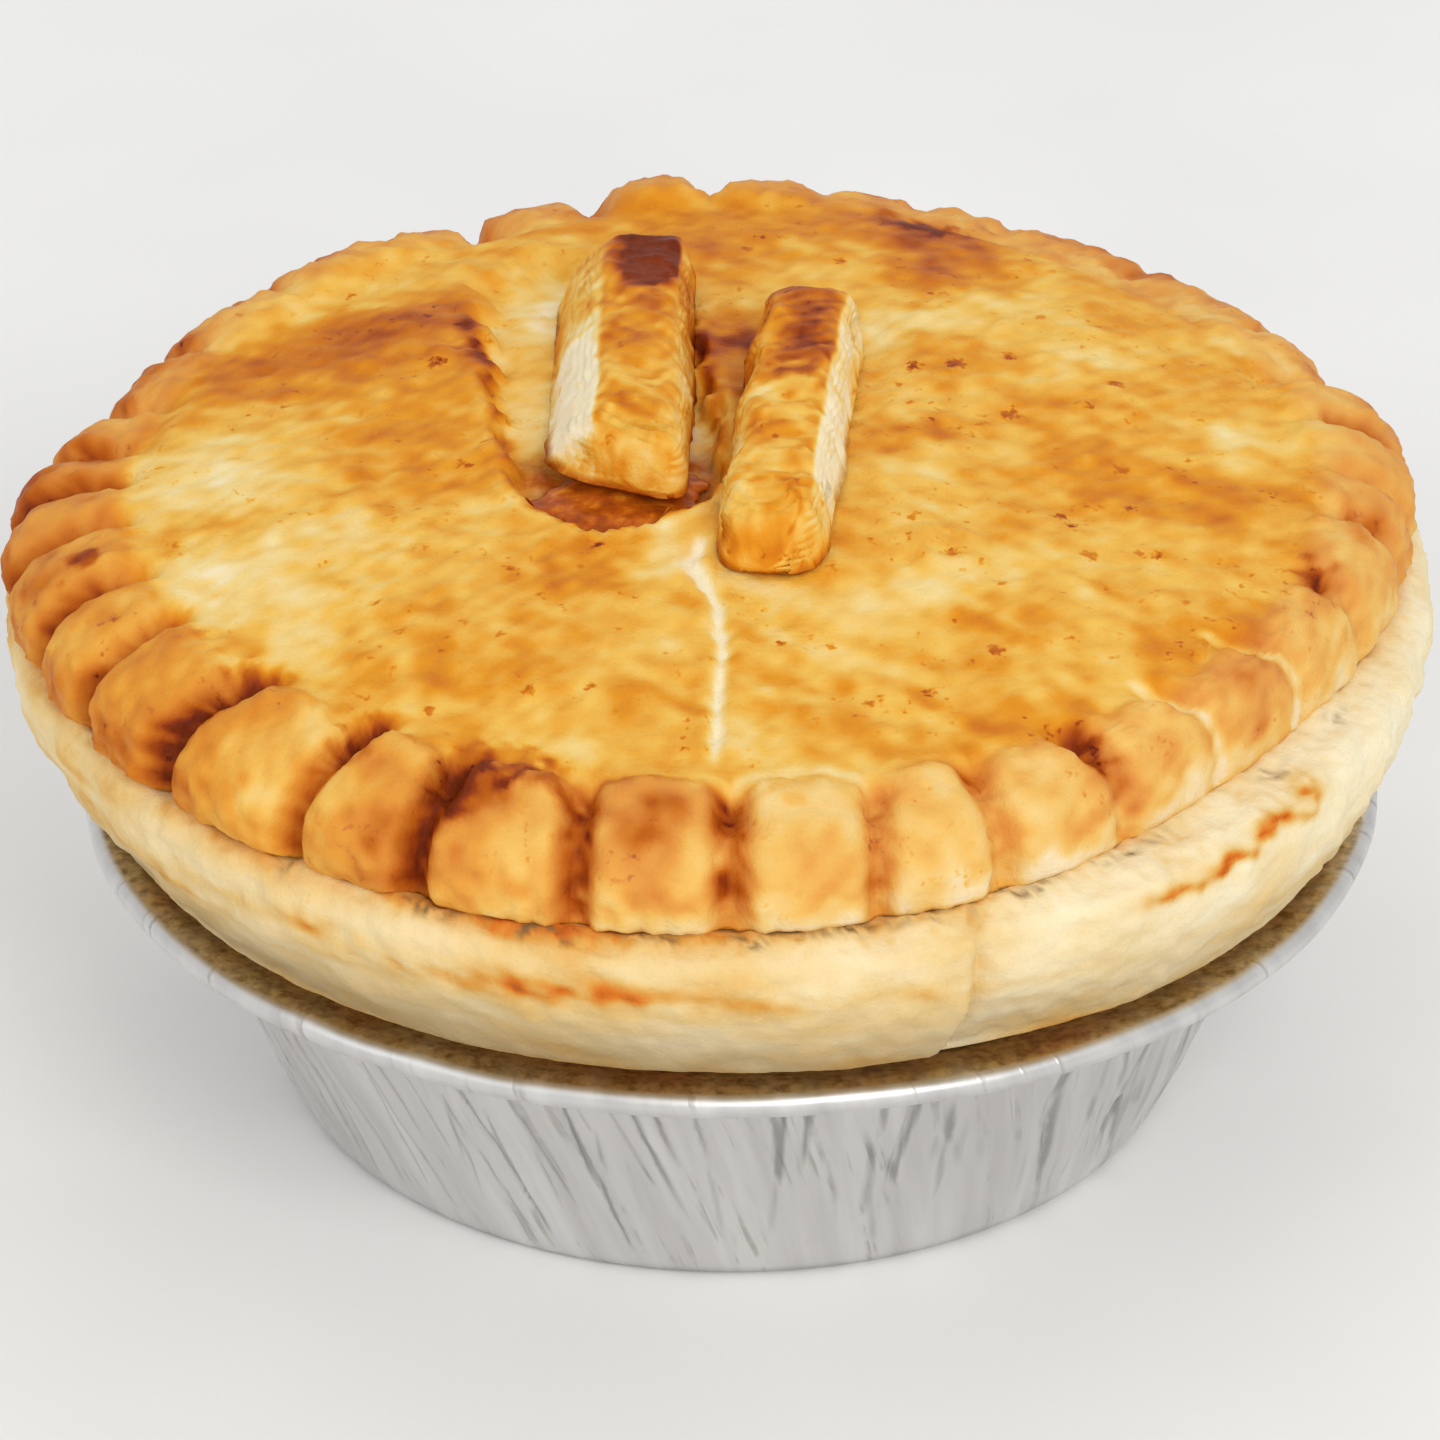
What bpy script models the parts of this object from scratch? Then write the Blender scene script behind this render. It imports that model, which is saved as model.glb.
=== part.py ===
# A single venison pie in its round foil dish, at its real size. Lengths are in metres, with
# +Z up and the origin at the middle of the dish's flat base. Directions round the pie are
# angles from the front: 0 degrees is the front (-Y) and 90 degrees is the right (+X).

import math

import bmesh
import bpy
import numpy as np
from mathutils import Vector
from mathutils.bvhtree import BVHTree

MM = 0.001
GAP = 0.3 * MM  # room that two touching pieces keep between them

# Foil dish
FOIL_THICKNESS = 0.35 * MM
DISH_BASE_RADIUS = 38.4 * MM
DISH_TOP_RADIUS = 48.6 * MM  # outside of the wall, just under the rim
RIM_RADIUS = 54.6 * MM  # outside of the rolled rim
RIM_HEIGHT = 27.6 * MM
RIM_ROLL = 0.75 * MM  # radius of the rolled edge
DISH_CORNER = 2.2 * MM  # from the flat base to the wall
FLANGE_START = DISH_TOP_RADIUS + 1.3 * MM
FLANGE_SLOPE = 0.5 * MM  # how much the flat rim rises outwards
FOIL_STEPS = 60

# Base pastry with its filling, one solid
CRUST_RADIUS = 60.0 * MM
CRUST_LIP_RADIUS = 54.0 * MM  # lower edge of the pale band that overhangs the rim
CRUST_LIP_HEIGHT = 30.3 * MM
CRUST_WIDEST_HEIGHT = 44.6 * MM
LEDGE_HEIGHT = 46.3 * MM  # top of the band, which the lid stands on
LEDGE_INNER_RADIUS = 51.0 * MM
CRUST_STEPS = 76
OVERLAP_ANGLE = 19.5  # where the band's pastry overlaps itself, in degrees
OVERLAP_STEP = 1.0 * MM  # how far its left side stands out over its right side
OVERLAP_HALF_WIDTH = 0.9  # degrees
OVERLAP_DROP = 0.9 * MM  # and how much lower that side hangs
BAND_LUMPS = 0.5 * MM
BAND_WAVE = 0.35 * MM  # rise and fall of the band's lower edge
CRUST_SHIFT = -1.0 * MM  # the risen crust sits a little left of the dish
CRUST_LEAN = 0.040  # rise of the crust for each millimetre towards the back
CRUST_DIP = 2.0 * MM  # the crust's edge sank at the left of the back
CRUST_DIP_ANGLE = 240.0
CRUST_DIP_SPREAD = 42.0

# Lid
LID_CROWN = 58.6 * MM  # height of the middle
LID_DOME_RADIUS = 49.0 * MM
LID_RINGS = 17  # rings of faces from the middle to the shoulder
LID_DOME_DROP = 3.2 * MM
LID_SWELL = 0.32 * MM
LID_RADIUS = 58.4 * MM
LID_SHOULDER_FOOT = 48.9 * MM  # height where the shoulder stands upright
LID_THICKNESS = 4.2 * MM
LID_FOOT_HEIGHT = LEDGE_HEIGHT + GAP
LID_FOOT_RADIUS = 57.5 * MM
SHOULDER_TILT = math.radians(82.0)  # how far the shoulder turns down, from the dome to the foot

# Crimps: where the edge was pressed down, in degrees round the pie
GROOVES = (1, 13, 23.5, 36, 48, 60, 72, 84, 95, 108, 121, 135, 149, 160, 170,
           180, 192, 204, 218, 232, 244, 256, 267, 277, 288, 298, 310, 324.5, 335.5, 348.5)
GROOVE_HALF_WIDTH = 1.9  # degrees
GROOVE_DEPTH = 1.9 * MM
LOBE_BULGE = 0.5 * MM
BACK_LOBES_RISE = 2.1 * MM
BACK_LOBES_ANGLE = 181.0
BACK_LOBES_SPREAD = 13.0
LID_RECESS = 0.62  # share of the lid's edge that is missing at the right front
LID_RECESS_ANGLE = 52.0
LID_RECESS_SPREAD = 30.0
LID_REACH = 0.22  # and how much further the edge reaches at the left
LID_REACH_ANGLE = 270.0
LID_REACH_SPREAD = 22.0

# Hollow in the lid round the left strip: two round ends (x, y, radius) and the floor's depth
HOLLOW_BACK = (-12.5 * MM, 30.0 * MM, 10.0 * MM)
HOLLOW_FRONT = (-8.2 * MM, -4.8 * MM, 9.0 * MM)
HOLLOW_DEPTH = 1.9 * MM

STRIP_SEAT = 0.45 * MM  # room under a strip, whose flat faces cross the uneven lid

# Pastry strips: middle of the front end and of the back end, width of the top, how far the
# left and right sides spread at the foot, how much the front end is lifted, and how far that
# end is cut on the slant for each millimetre across
STRIPS = {
    "pastry_strip_left": {
        "front": (-7.0 * MM, -9.0 * MM), "back": (-6.5 * MM, 31.0 * MM),
        "top_width": 8.1 * MM, "spread": (3.4 * MM, 0.4 * MM),
        "height": 5.2 * MM, "front_lift": 1.6 * MM, "front_slant": -0.5,
    },
    "pastry_strip_right": {
        "front": (3.8 * MM, -21.8 * MM), "back": (8.0 * MM, 19.6 * MM),
        "top_width": 7.6 * MM, "spread": (0.6 * MM, 0.9 * MM),
        "height": 5.7 * MM, "front_lift": 0.0, "front_slant": 0.0,
    },
}

# Gravy that boiled out beside the left strip: middle, half-lengths and thickness
GRAVY_MIDDLE = (-8.0 * MM, -7.8 * MM)
GRAVY_HALF_SIZE = (7.2 * MM, 5.0 * MM)
GRAVY_THICKNESS = 0.9 * MM
GRAVY_STEPS = 26


def smoothstep(low, high, value):
    """0 below low, 1 above high, with a soft S between them."""
    t = min(max((value - low) / (high - low), 0.0), 1.0)
    return t * t * (3 - 2 * t)


def hump(offset, spread):
    """1 at no offset, falling off as a bell curve."""
    return math.exp(-((offset / spread) ** 2))


def turn_between(angle, other):
    """Smallest difference of two directions, in degrees."""
    return (angle - other + 180.0) % 360.0 - 180.0


def direction_of(point):
    """Direction of a point round the pie, from 0 to 360 degrees."""
    return math.degrees(math.atan2(point.x, -point.y)) % 360.0


def put_at(point, radius, angle):
    point.x = radius * math.sin(math.radians(angle))
    point.y = -radius * math.cos(math.radians(angle))


def arc(centre, radii, start, end, count):
    """Points (radius, height) of an elliptical arc, between two angles in degrees."""
    turns = np.radians(np.linspace(start, end, count))
    return [(centre[0] + radii[0] * math.cos(t), centre[1] + radii[1] * math.sin(t)) for t in turns]


def inset(path, distance):
    """The path moved to its left by a distance, for a shell's inner face."""
    points = np.array(path)
    along = np.gradient(points, axis=0)
    along /= np.linalg.norm(along, axis=1, keepdims=True)
    moved = points + distance * np.stack([-along[:, 1], along[:, 0]], axis=1)
    moved[0, 0] = 0.0
    return [tuple(point) for point in moved]


def turned(profile, steps, skin=None):
    """A profile of (radius, height) points spun round the Z axis. skin marks its outer points."""
    bm = bmesh.new()
    layer = bm.verts.layers.float.new("skin")
    column = [bm.verts.new((0.0, -radius, height)) for radius, height in profile]
    for vert, weight in zip(column, skin or [0.0] * len(column)):
        vert[layer] = weight
    edges = [bm.edges.new(pair) for pair in zip(column, column[1:])]
    bmesh.ops.spin(
        bm, geom=column + edges, cent=(0, 0, 0), axis=(0, 0, 1), dvec=(0, 0, 0),
        angle=2 * math.pi, steps=steps, use_merge=True, use_duplicate=False,
    )
    bmesh.ops.remove_doubles(bm, verts=bm.verts[:], dist=0.002 * MM)
    bmesh.ops.recalc_face_normals(bm, faces=bm.faces[:])
    return bm


def slide_columns(bm, stations):
    """Moves the evenly spun columns of points round to the given directions, in degrees."""
    even = np.arange(len(stations) + 1) * 360.0 / len(stations)
    places = np.append(stations, stations[0] + 360.0)
    for vert in bm.verts:
        radius = vert.co.xy.length
        if radius > 0.01 * MM:
            put_at(vert.co, radius, float(np.interp(direction_of(vert.co), even, places)))


def make_object(bm, name, material, parent, crease=35.0):
    mesh = bpy.data.meshes.new(name)
    bm.to_mesh(mesh)
    bm.free()
    mesh.shade_smooth()
    mesh.set_sharp_from_angle(angle=math.radians(crease))
    mesh.materials.append(material)
    obj = bpy.data.objects.new(name, mesh)
    obj.parent = parent
    bpy.context.scene.collection.objects.link(obj)
    return obj


def make_material(name, colour, roughness, metallic=0.0):
    material = bpy.data.materials.new(name)
    material.use_nodes = True
    shader = material.node_tree.nodes["Principled BSDF"]
    shader.inputs["Base Color"].default_value = (*colour, 1.0)
    shader.inputs["Roughness"].default_value = roughness
    shader.inputs["Metallic"].default_value = metallic
    return material


# Shape of the lid's top

def dome_height(radius):
    """Height of the lid's top inside its crimps: a low dome."""
    return LID_CROWN - LID_DOME_DROP * (radius / LID_DOME_RADIUS) ** 2


def hollow_share(x, y):
    """1 on the floor of the hollow, 0 outside it: a tapered slot with round ends."""
    start, end = Vector(HOLLOW_BACK[:2]), Vector(HOLLOW_FRONT[:2])
    line = end - start
    along = min(max((Vector((x, y)) - start).dot(line) / line.length_squared, 0.0), 1.0)
    width = HOLLOW_BACK[2] + (HOLLOW_FRONT[2] - HOLLOW_BACK[2]) * along
    inside = width - (Vector((x, y)) - (start + along * line)).length
    soft_edge = 2.2 * MM + 3.5 * MM * (1.0 - along) ** 2
    return smoothstep(0.0, soft_edge, inside)


def swell(x, y):
    """Slow rise and fall of the baked lid."""
    waves = math.sin(x / (9.0 * MM) + 0.8) * math.sin(y / (11.0 * MM) + 2.1)
    waves += 0.6 * math.sin((x + y) / (7.5 * MM) + 1.7)
    fade = 1.0 - smoothstep(36.0 * MM, 48.0 * MM, math.hypot(x, y))
    return LID_SWELL * waves * fade


def lid_top(x, y):
    """Height of the lid's upper face, with its swell and its hollow."""
    return dome_height(math.hypot(x, y)) + swell(x, y) - HOLLOW_DEPTH * hollow_share(x, y)


# Shape of the crimps

def groove_share(angle):
    """1 in the middle of a crimp's groove, 0 on the lobes."""
    return max(hump(turn_between(angle, groove), GROOVE_HALF_WIDTH) for groove in GROOVES)


def lobe_share(angle):
    """1 at the middle of a lobe, 0 in the grooves beside it."""
    ahead = min((groove - angle) % 360.0 for groove in GROOVES)
    behind = min((angle - groove) % 360.0 for groove in GROOVES)
    width = ahead + behind
    return 4.0 * ahead * behind / width**2 if width > 0 else 0.0


def shoulder_rise(angle):
    """The two lobes at the very back stand higher than the others."""
    return BACK_LOBES_RISE * hump(turn_between(angle, BACK_LOBES_ANGLE), BACK_LOBES_SPREAD)


def crimp_point(point, skin):
    """Presses the grooves into the lid's shoulder and rounds the lobes between them."""
    angle, radius = direction_of(point), point.xy.length
    on_edge = skin * smoothstep(LID_DOME_RADIUS - 3.5 * MM, LID_DOME_RADIUS + 1.5 * MM, radius)
    tilt = SHOULDER_TILT * smoothstep(LID_DOME_RADIUS + 1.0 * MM, LID_FOOT_RADIUS, radius)
    push = LOBE_BULGE * lobe_share(angle) - GROOVE_DEPTH * groove_share(angle)
    radius += on_edge * push * math.sin(tilt)
    point.z += on_edge * (push + shoulder_rise(angle)) * math.cos(tilt)
    kept = LEDGE_INNER_RADIUS + GAP
    if radius > kept:
        recess = LID_RECESS * hump(turn_between(angle, LID_RECESS_ANGLE), LID_RECESS_SPREAD)
        recess -= LID_REACH * hump(turn_between(angle, LID_REACH_ANGLE), LID_REACH_SPREAD)
        radius = kept + (radius - kept) * (1.0 - recess)
    put_at(point, radius, angle)


def crust_tilt(spot):
    """Rise of the crust's top at a spot: it leans towards the front and dips at the back left."""
    dip = hump(turn_between(direction_of(spot), CRUST_DIP_ANGLE), CRUST_DIP_SPREAD)
    outward = smoothstep(18.0 * MM, 52.0 * MM, spot.xy.length)
    return CRUST_LEAN * spot.y - CRUST_DIP * dip * outward


def settle(bm):
    """Shifts the risen crust to the left of the dish and tilts its top."""
    for vert in bm.verts:
        risen = smoothstep(RIM_HEIGHT, LEDGE_HEIGHT - 1.0 * MM, vert.co.z)
        vert.co.z += crust_tilt(vert.co) * risen
        vert.co.x += CRUST_SHIFT * risen


# Pieces

def dish_path():
    """Outer face of the dish from the middle of its base to the rolled rim."""
    flange_end = RIM_RADIUS - 2 * RIM_ROLL
    flange_height = RIM_HEIGHT - 0.35 * MM
    path = [
        (0.0, 0.0), (DISH_BASE_RADIUS - DISH_CORNER, 0.0),
        (DISH_BASE_RADIUS - 0.27 * DISH_CORNER, 0.23 * DISH_CORNER),
        (DISH_BASE_RADIUS + 0.09 * DISH_CORNER, 0.82 * DISH_CORNER),
        (DISH_TOP_RADIUS - 0.3 * MM, flange_height - 2.25 * MM),
        (DISH_TOP_RADIUS + 0.2 * MM, flange_height - 0.95 * MM),
        (FLANGE_START, flange_height - FLANGE_SLOPE), (flange_end, flange_height),
    ]
    roll_centre = (RIM_RADIUS - RIM_ROLL, flange_height - 0.1 * MM - RIM_ROLL)
    return path, arc(roll_centre, (RIM_ROLL, RIM_ROLL), 95.0, -120.0, 5)


def foil_dish(material, parent):
    """Thin pressed dish with a flat base, a slanting wall and a rim rolled under."""
    path, roll = dish_path()
    bm = turned(path + roll, FOIL_STEPS)
    base_faces = [face for face in bm.faces if face.calc_center_median().z < 0.01 * MM]
    if base_faces[0].normal.z > 0:  # the outer face has to look down and outwards
        bmesh.ops.reverse_faces(bm, faces=bm.faces[:])
    dish = make_object(bm, "foil_dish", material, parent)
    shell = dish.modifiers.new("foil", "SOLIDIFY")
    shell.thickness = FOIL_THICKNESS
    shell.offset = -1.0


def crust_profile():
    """Base pastry and filling: inside the dish, over its rim, up the band, under the lid."""
    wall, _ = dish_path()
    profile = inset(wall, FOIL_THICKNESS + GAP + 0.05 * MM)[:-1]
    profile += [
        (FLANGE_START - 0.4 * MM, RIM_HEIGHT + 0.45 * MM),
        (CRUST_LIP_RADIUS - 0.9 * MM, CRUST_LIP_HEIGHT - 1.1 * MM),
    ]
    for share in np.linspace(0.0, 1.0, 5):
        bulge = math.sin(share * math.pi / 2)
        radius = CRUST_LIP_RADIUS + (CRUST_RADIUS - CRUST_LIP_RADIUS) * bulge
        height = CRUST_LIP_HEIGHT + (CRUST_WIDEST_HEIGHT - CRUST_LIP_HEIGHT) * share
        profile.append((radius, height))
    profile += [
        (CRUST_RADIUS - 0.5 * MM, LEDGE_HEIGHT - 0.6 * MM), (CRUST_RADIUS - 1.9 * MM, LEDGE_HEIGHT),
        (LEDGE_INNER_RADIUS, LEDGE_HEIGHT), (LEDGE_INNER_RADIUS - 0.9 * MM, LEDGE_HEIGHT + 2.6 * MM),
    ]
    under = LID_THICKNESS + 0.6 * MM
    profile += [(r, dome_height(r) - under) for r in (47.0 * MM, 30.0 * MM, 0.0)]
    return profile


def shape_band(point):
    """Makes the pale band uneven: lumps, a wavy lower edge and the overlap at the front."""
    angle, radius = direction_of(point), point.xy.length
    on_band = smoothstep(RIM_HEIGHT + 0.5 * MM, CRUST_LIP_HEIGHT, point.z)
    on_band *= smoothstep(LEDGE_INNER_RADIUS + GAP, LEDGE_INNER_RADIUS + 3 * MM, radius)
    turn = math.radians(angle)
    lumps = 0.45 * math.sin(3 * turn + 0.7) + 0.3 * math.sin(7 * turn + 2.0) + 0.2 * math.sin(13 * turn)
    past_overlap = turn_between(angle, OVERLAP_ANGLE)
    right_side = smoothstep(-OVERLAP_HALF_WIDTH, OVERLAP_HALF_WIDTH, past_overlap)
    overlap = (0.5 - right_side) * hump(past_overlap, 40.0)
    radius += on_band * (BAND_LUMPS * lumps + OVERLAP_STEP * overlap)
    low = 1.0 - smoothstep(CRUST_LIP_HEIGHT, CRUST_WIDEST_HEIGHT, point.z)
    point.z += on_band * low * (BAND_WAVE * math.sin(5 * turn + 1.0) - OVERLAP_DROP * overlap)
    put_at(point, radius, angle)


def pastry_base(material, parent):
    """The case of pale pastry with its filling, solid because the pie is uncut."""
    bm = turned(crust_profile(), CRUST_STEPS)
    stations = np.arange(CRUST_STEPS) * 360.0 / CRUST_STEPS
    nearest = int(np.argmin(abs(stations - OVERLAP_ANGLE)))
    stations[nearest] = OVERLAP_ANGLE - OVERLAP_HALF_WIDTH
    stations[nearest + 1] = OVERLAP_ANGLE + OVERLAP_HALF_WIDTH
    slide_columns(bm, stations)
    for vert in bm.verts:
        if vert.co.xy.length > 0.01 * MM:
            shape_band(vert.co)
    settle(bm)
    make_object(bm, "pastry_base", material, parent)


def lid_profile():
    """Lid from the middle of its top, over the shoulder, to the foot and back underneath."""
    top = [(r, dome_height(r)) for r in np.linspace(0.0, LID_DOME_RADIUS, LID_RINGS)]
    reach = (LID_RADIUS - LID_DOME_RADIUS, dome_height(LID_DOME_RADIUS) - LID_SHOULDER_FOOT)
    shoulder = arc((LID_DOME_RADIUS, LID_SHOULDER_FOOT), reach, 75.0, 0.0, 6)
    outside = top + shoulder + [(LID_RADIUS - 0.2 * MM, LID_FOOT_HEIGHT + 0.9 * MM)]
    inner = LEDGE_INNER_RADIUS + 1.3 * MM
    foot = [(LID_FOOT_RADIUS, LID_FOOT_HEIGHT), (inner, LID_FOOT_HEIGHT)]
    under = [(inner - 0.6 * MM, LID_FOOT_HEIGHT + 2.2 * MM), (inner - 2.9 * MM, LID_FOOT_HEIGHT + 4.4 * MM)]
    under += [(r, dome_height(r) - LID_THICKNESS) for r in (44.0 * MM, 24.0 * MM, 0.0)]
    skin = [1.0] * len(outside) + [0.35, 0.0] + [0.0] * len(under)
    return outside + foot + under, skin


def pastry_lid(material, parent):
    """Golden lid with a low dome, a hollow and a crimped edge. Returns its surface to lay things on."""
    profile, skin = lid_profile()
    flank = 1.25 * GROOVE_HALF_WIDTH
    stations = []
    for groove, after in zip(GROOVES, GROOVES[1:] + (GROOVES[0] + 360,)):
        stations += [groove, groove + flank, (groove + after) / 2, after - flank]
    bm = turned(profile, len(stations), skin)
    layer = bm.verts.layers.float["skin"]
    slide_columns(bm, np.array(stations))
    for vert in bm.verts:
        if vert[layer] == 1.0 and vert.co.xy.length < LID_DOME_RADIUS + 0.01 * MM:
            vert.co.z = lid_top(vert.co.x, vert.co.y)
        if vert.co.xy.length > 0.01 * MM:
            crimp_point(vert.co, vert[layer])
    settle(bm)
    surface = BVHTree.FromBMesh(bm)
    make_object(bm, "pastry_lid", material, parent)
    return surface


def height_on(surface, spot):
    """Height of the lid's finished surface at a spot of the crust."""
    above = Vector((spot.x + CRUST_SHIFT, spot.y, 2 * LID_CROWN))
    return surface.ray_cast(above, Vector((0, 0, -1)))[0].z


def strip_section(top_width, spread, height):
    """Cross-section (across, up) of a strip: flat foot, sides that spread, rounded top."""
    half = top_width / 2
    left, right = -half - spread[0], half + spread[1]
    crown = 0.35 * MM
    foot = [(float(offset), 0.0) for offset in np.linspace(left + 0.6 * MM, right - 0.4 * MM, 6)]
    return foot + [
        (right, 0.5 * MM), (half + 0.3 * MM, 0.72 * height), (half - 0.7 * MM, height - 0.1 * MM),
        (0.0, height + crown), (-half + 0.7 * MM, height - 0.1 * MM),
        (-half - 0.3 * MM, 0.72 * height), (left, 0.6 * MM),
    ]


def pastry_strip(name, size, surface, material, parent):
    """A thick strip of puff pastry laid on the lid, front to back: a loft of its sections."""
    front, back = Vector(size["front"]), Vector(size["back"])
    line = back - front
    along = line.normalized()
    across = Vector((line.y, -line.x)).normalized()
    section = strip_section(size["top_width"], size["spread"], size["height"])
    shares = (0.0, 0.03, 0.10, 0.22, 0.36, 0.50, 0.64, 0.78, 0.90, 0.97, 1.0)
    ends = (0.62, 0.92, 1.0, 1.0, 1.0, 1.0, 1.0, 1.0, 1.0, 0.92, 0.66)  # how full each section is
    bm = bmesh.new()
    rings = []
    for share, full in zip(shares, ends):
        middle = front + share * line
        front_share = 1.0 - smoothstep(0.10, 0.45, share)
        bed = dome_height(middle.length) + swell(middle.x, middle.y) + crust_tilt(middle.to_3d())
        ring = []
        for offset, up in section:
            shift = offset * (0.6 + 0.4 * full)
            spot = middle + shift * across + shift * size["front_slant"] * front_share * along
            raised = smoothstep(0.0, 0.6 * size["height"], up)
            foot = height_on(surface, spot) + STRIP_SEAT
            foot += size["front_lift"] * front_share * (1 - raised)
            height = foot + (bed - foot) * raised + up * full
            ring.append(bm.verts.new((spot.x + CRUST_SHIFT, spot.y, height)))
        rings.append(ring)
    for near, far in zip(rings, rings[1:]):
        for i in range(len(section)):
            j = (i + 1) % len(section)
            bm.faces.new((near[i], near[j], far[j], far[i]))
    bm.faces.new(rings[0])
    bm.faces.new(rings[-1])
    bmesh.ops.recalc_face_normals(bm, faces=bm.faces[:])
    make_object(bm, name, material, parent, crease=50.0)


def gravy_pool(surface, material, parent):
    """Dark gravy baked on the floor of the hollow, a shallow pool with a wavy edge."""
    under = [(reach, 0.0) for reach in (0.0, 0.3, 0.55, 0.8, 0.93)]
    over = [(1.0, 0.3), (0.93, 0.6), (0.8, 0.85), (0.55, 0.95), (0.3, 1.0), (0.0, 1.0)]
    bm = turned([(reach * MM, up * MM) for reach, up in under + over], GRAVY_STEPS)
    for vert in bm.verts:
        turn = math.radians(direction_of(vert.co))
        wavy = 1.0 + 0.10 * math.sin(3 * turn + 0.5) + 0.06 * math.sin(7 * turn)
        reach = vert.co.xy.length / MM * wavy
        spot = Vector((
            GRAVY_MIDDLE[0] + GRAVY_HALF_SIZE[0] * reach * math.sin(turn),
            GRAVY_MIDDLE[1] - GRAVY_HALF_SIZE[1] * reach * math.cos(turn),
        ))
        height = height_on(surface, spot) + GAP + GRAVY_THICKNESS * vert.co.z / MM
        vert.co = (spot.x + CRUST_SHIFT, spot.y, height)
    make_object(bm, "gravy_pool", material, parent)


def build():
    for obj in list(bpy.data.objects):
        bpy.data.objects.remove(obj)
    pie = bpy.data.objects.new("pie", None)
    bpy.context.scene.collection.objects.link(pie)
    foil = make_material("foil", (0.80, 0.80, 0.79), 0.32, 1.0)
    pale_pastry = make_material("pale_pastry", (0.80, 0.62, 0.38), 0.65)
    golden_pastry = make_material("golden_pastry", (0.76, 0.42, 0.11), 0.5)
    gravy = make_material("gravy", (0.16, 0.03, 0.01), 0.25)
    foil_dish(foil, pie)
    pastry_base(pale_pastry, pie)
    lid_surface = pastry_lid(golden_pastry, pie)
    for name, size in STRIPS.items():
        pastry_strip(name, size, lid_surface, golden_pastry, pie)
    gravy_pool(lid_surface, gravy, pie)


build()
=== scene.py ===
import math

import bpy
import numpy as np
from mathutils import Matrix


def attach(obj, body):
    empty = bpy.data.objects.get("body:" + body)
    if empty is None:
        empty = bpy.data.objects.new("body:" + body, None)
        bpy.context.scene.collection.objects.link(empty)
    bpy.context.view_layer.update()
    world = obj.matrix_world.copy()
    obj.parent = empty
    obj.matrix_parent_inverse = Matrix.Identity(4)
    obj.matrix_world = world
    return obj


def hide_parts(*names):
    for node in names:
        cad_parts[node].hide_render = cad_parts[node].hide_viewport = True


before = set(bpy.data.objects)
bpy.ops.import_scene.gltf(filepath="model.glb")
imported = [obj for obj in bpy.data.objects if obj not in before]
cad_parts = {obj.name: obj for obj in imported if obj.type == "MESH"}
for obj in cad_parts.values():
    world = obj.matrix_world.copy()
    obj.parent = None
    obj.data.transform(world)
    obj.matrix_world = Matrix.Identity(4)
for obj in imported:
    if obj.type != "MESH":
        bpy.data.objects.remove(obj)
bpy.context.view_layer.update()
print("frame loaded:", sorted(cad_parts))

# All sizes below are millimetres unless a note says otherwise. Directions round the pie are
# degrees from the front (-Y), growing towards the right (+X).
mm = 0.001


def smooth(low, high, value):
    # 0 below low, 1 above high, 3t^2 - 2t^3 in between
    t = np.clip((value - low) / (high - low), 0.0, 1.0)
    return t * t * (3.0 - 2.0 * t)


def bell(offset, spread):
    # exp(-(offset / spread)^2)
    return np.exp(-((offset / spread) ** 2))


def turnFrom(angle, other):
    # signed difference of two directions, from -180 to 180 degrees
    return (angle - other + 180.0) % 360.0 - 180.0


def directionOf(x, y):
    # angle from the front, growing to the right
    return np.degrees(np.arctan2(x, -y)) % 360.0


def ripple(points, size, seed, waves=18):
    # sum of cosine waves in random directions with wavelengths near size, scaled to a spread of 1
    rng = np.random.default_rng(seed)
    ways = rng.normal(size=(waves, 3))
    ways /= np.linalg.norm(ways, axis=1, keepdims=True)
    ways *= 2 * np.pi / (size * rng.uniform(0.7, 1.5, (waves, 1)))
    return np.cos(points @ ways.T + rng.uniform(0, 2 * np.pi, waves)).sum(axis=-1) * math.sqrt(2 / waves)


def nearLine(x, y, corners):
    # distance from each point to a bent line, and how far along the line (0 to 1) the nearest place is
    corners = np.array(corners, float)
    lengths = np.linalg.norm(np.diff(corners, axis=0), axis=1)
    starts = np.concatenate([[0.0], np.cumsum(lengths)]) / lengths.sum()
    best = np.full(np.shape(x), 1e9)
    share = np.zeros(np.shape(x))
    for start, end, low, high in zip(corners, corners[1:], starts, starts[1:]):
        way = end - start
        t = np.clip(((x - start[0]) * way[0] + (y - start[1]) * way[1]) / (way @ way), 0.0, 1.0)
        gap = np.hypot(x - start[0] - t * way[0], y - start[1] - t * way[1])
        closer = gap < best
        best = np.where(closer, gap, best)
        share = np.where(closer, low + (high - low) * t, share)
    return best, share


def spots(x, y, places):
    # sum of soft round spots, each (x, y, radius, amount)
    total = np.zeros(np.shape(x))
    for px, py, radius, amount in places:
        total = total + amount * bell(np.hypot(x - px, y - py), radius)
    return total


def resample(corners, counts):
    # points along a bent line of (radius, height) corners, counts[i] steps between corner i and i + 1
    corners = np.array(corners, float)
    out = [corners[:1]]
    for start, end, count in zip(corners, corners[1:], counts):
        t = np.linspace(0, 1, count + 1)[1:, None]
        out.append(start + (end - start) * t)
    return np.concatenate(out)


def turnedGrid(profile, columns):
    # radius, direction and height at each row of the profile and each of the columns round Z
    angle = np.arange(columns) * 360.0 / columns
    radius, turn = np.meshgrid(profile[:, 0], angle, indexing="ij")
    return radius, turn, np.repeat(profile[:, 1:], columns, axis=1)


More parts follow.
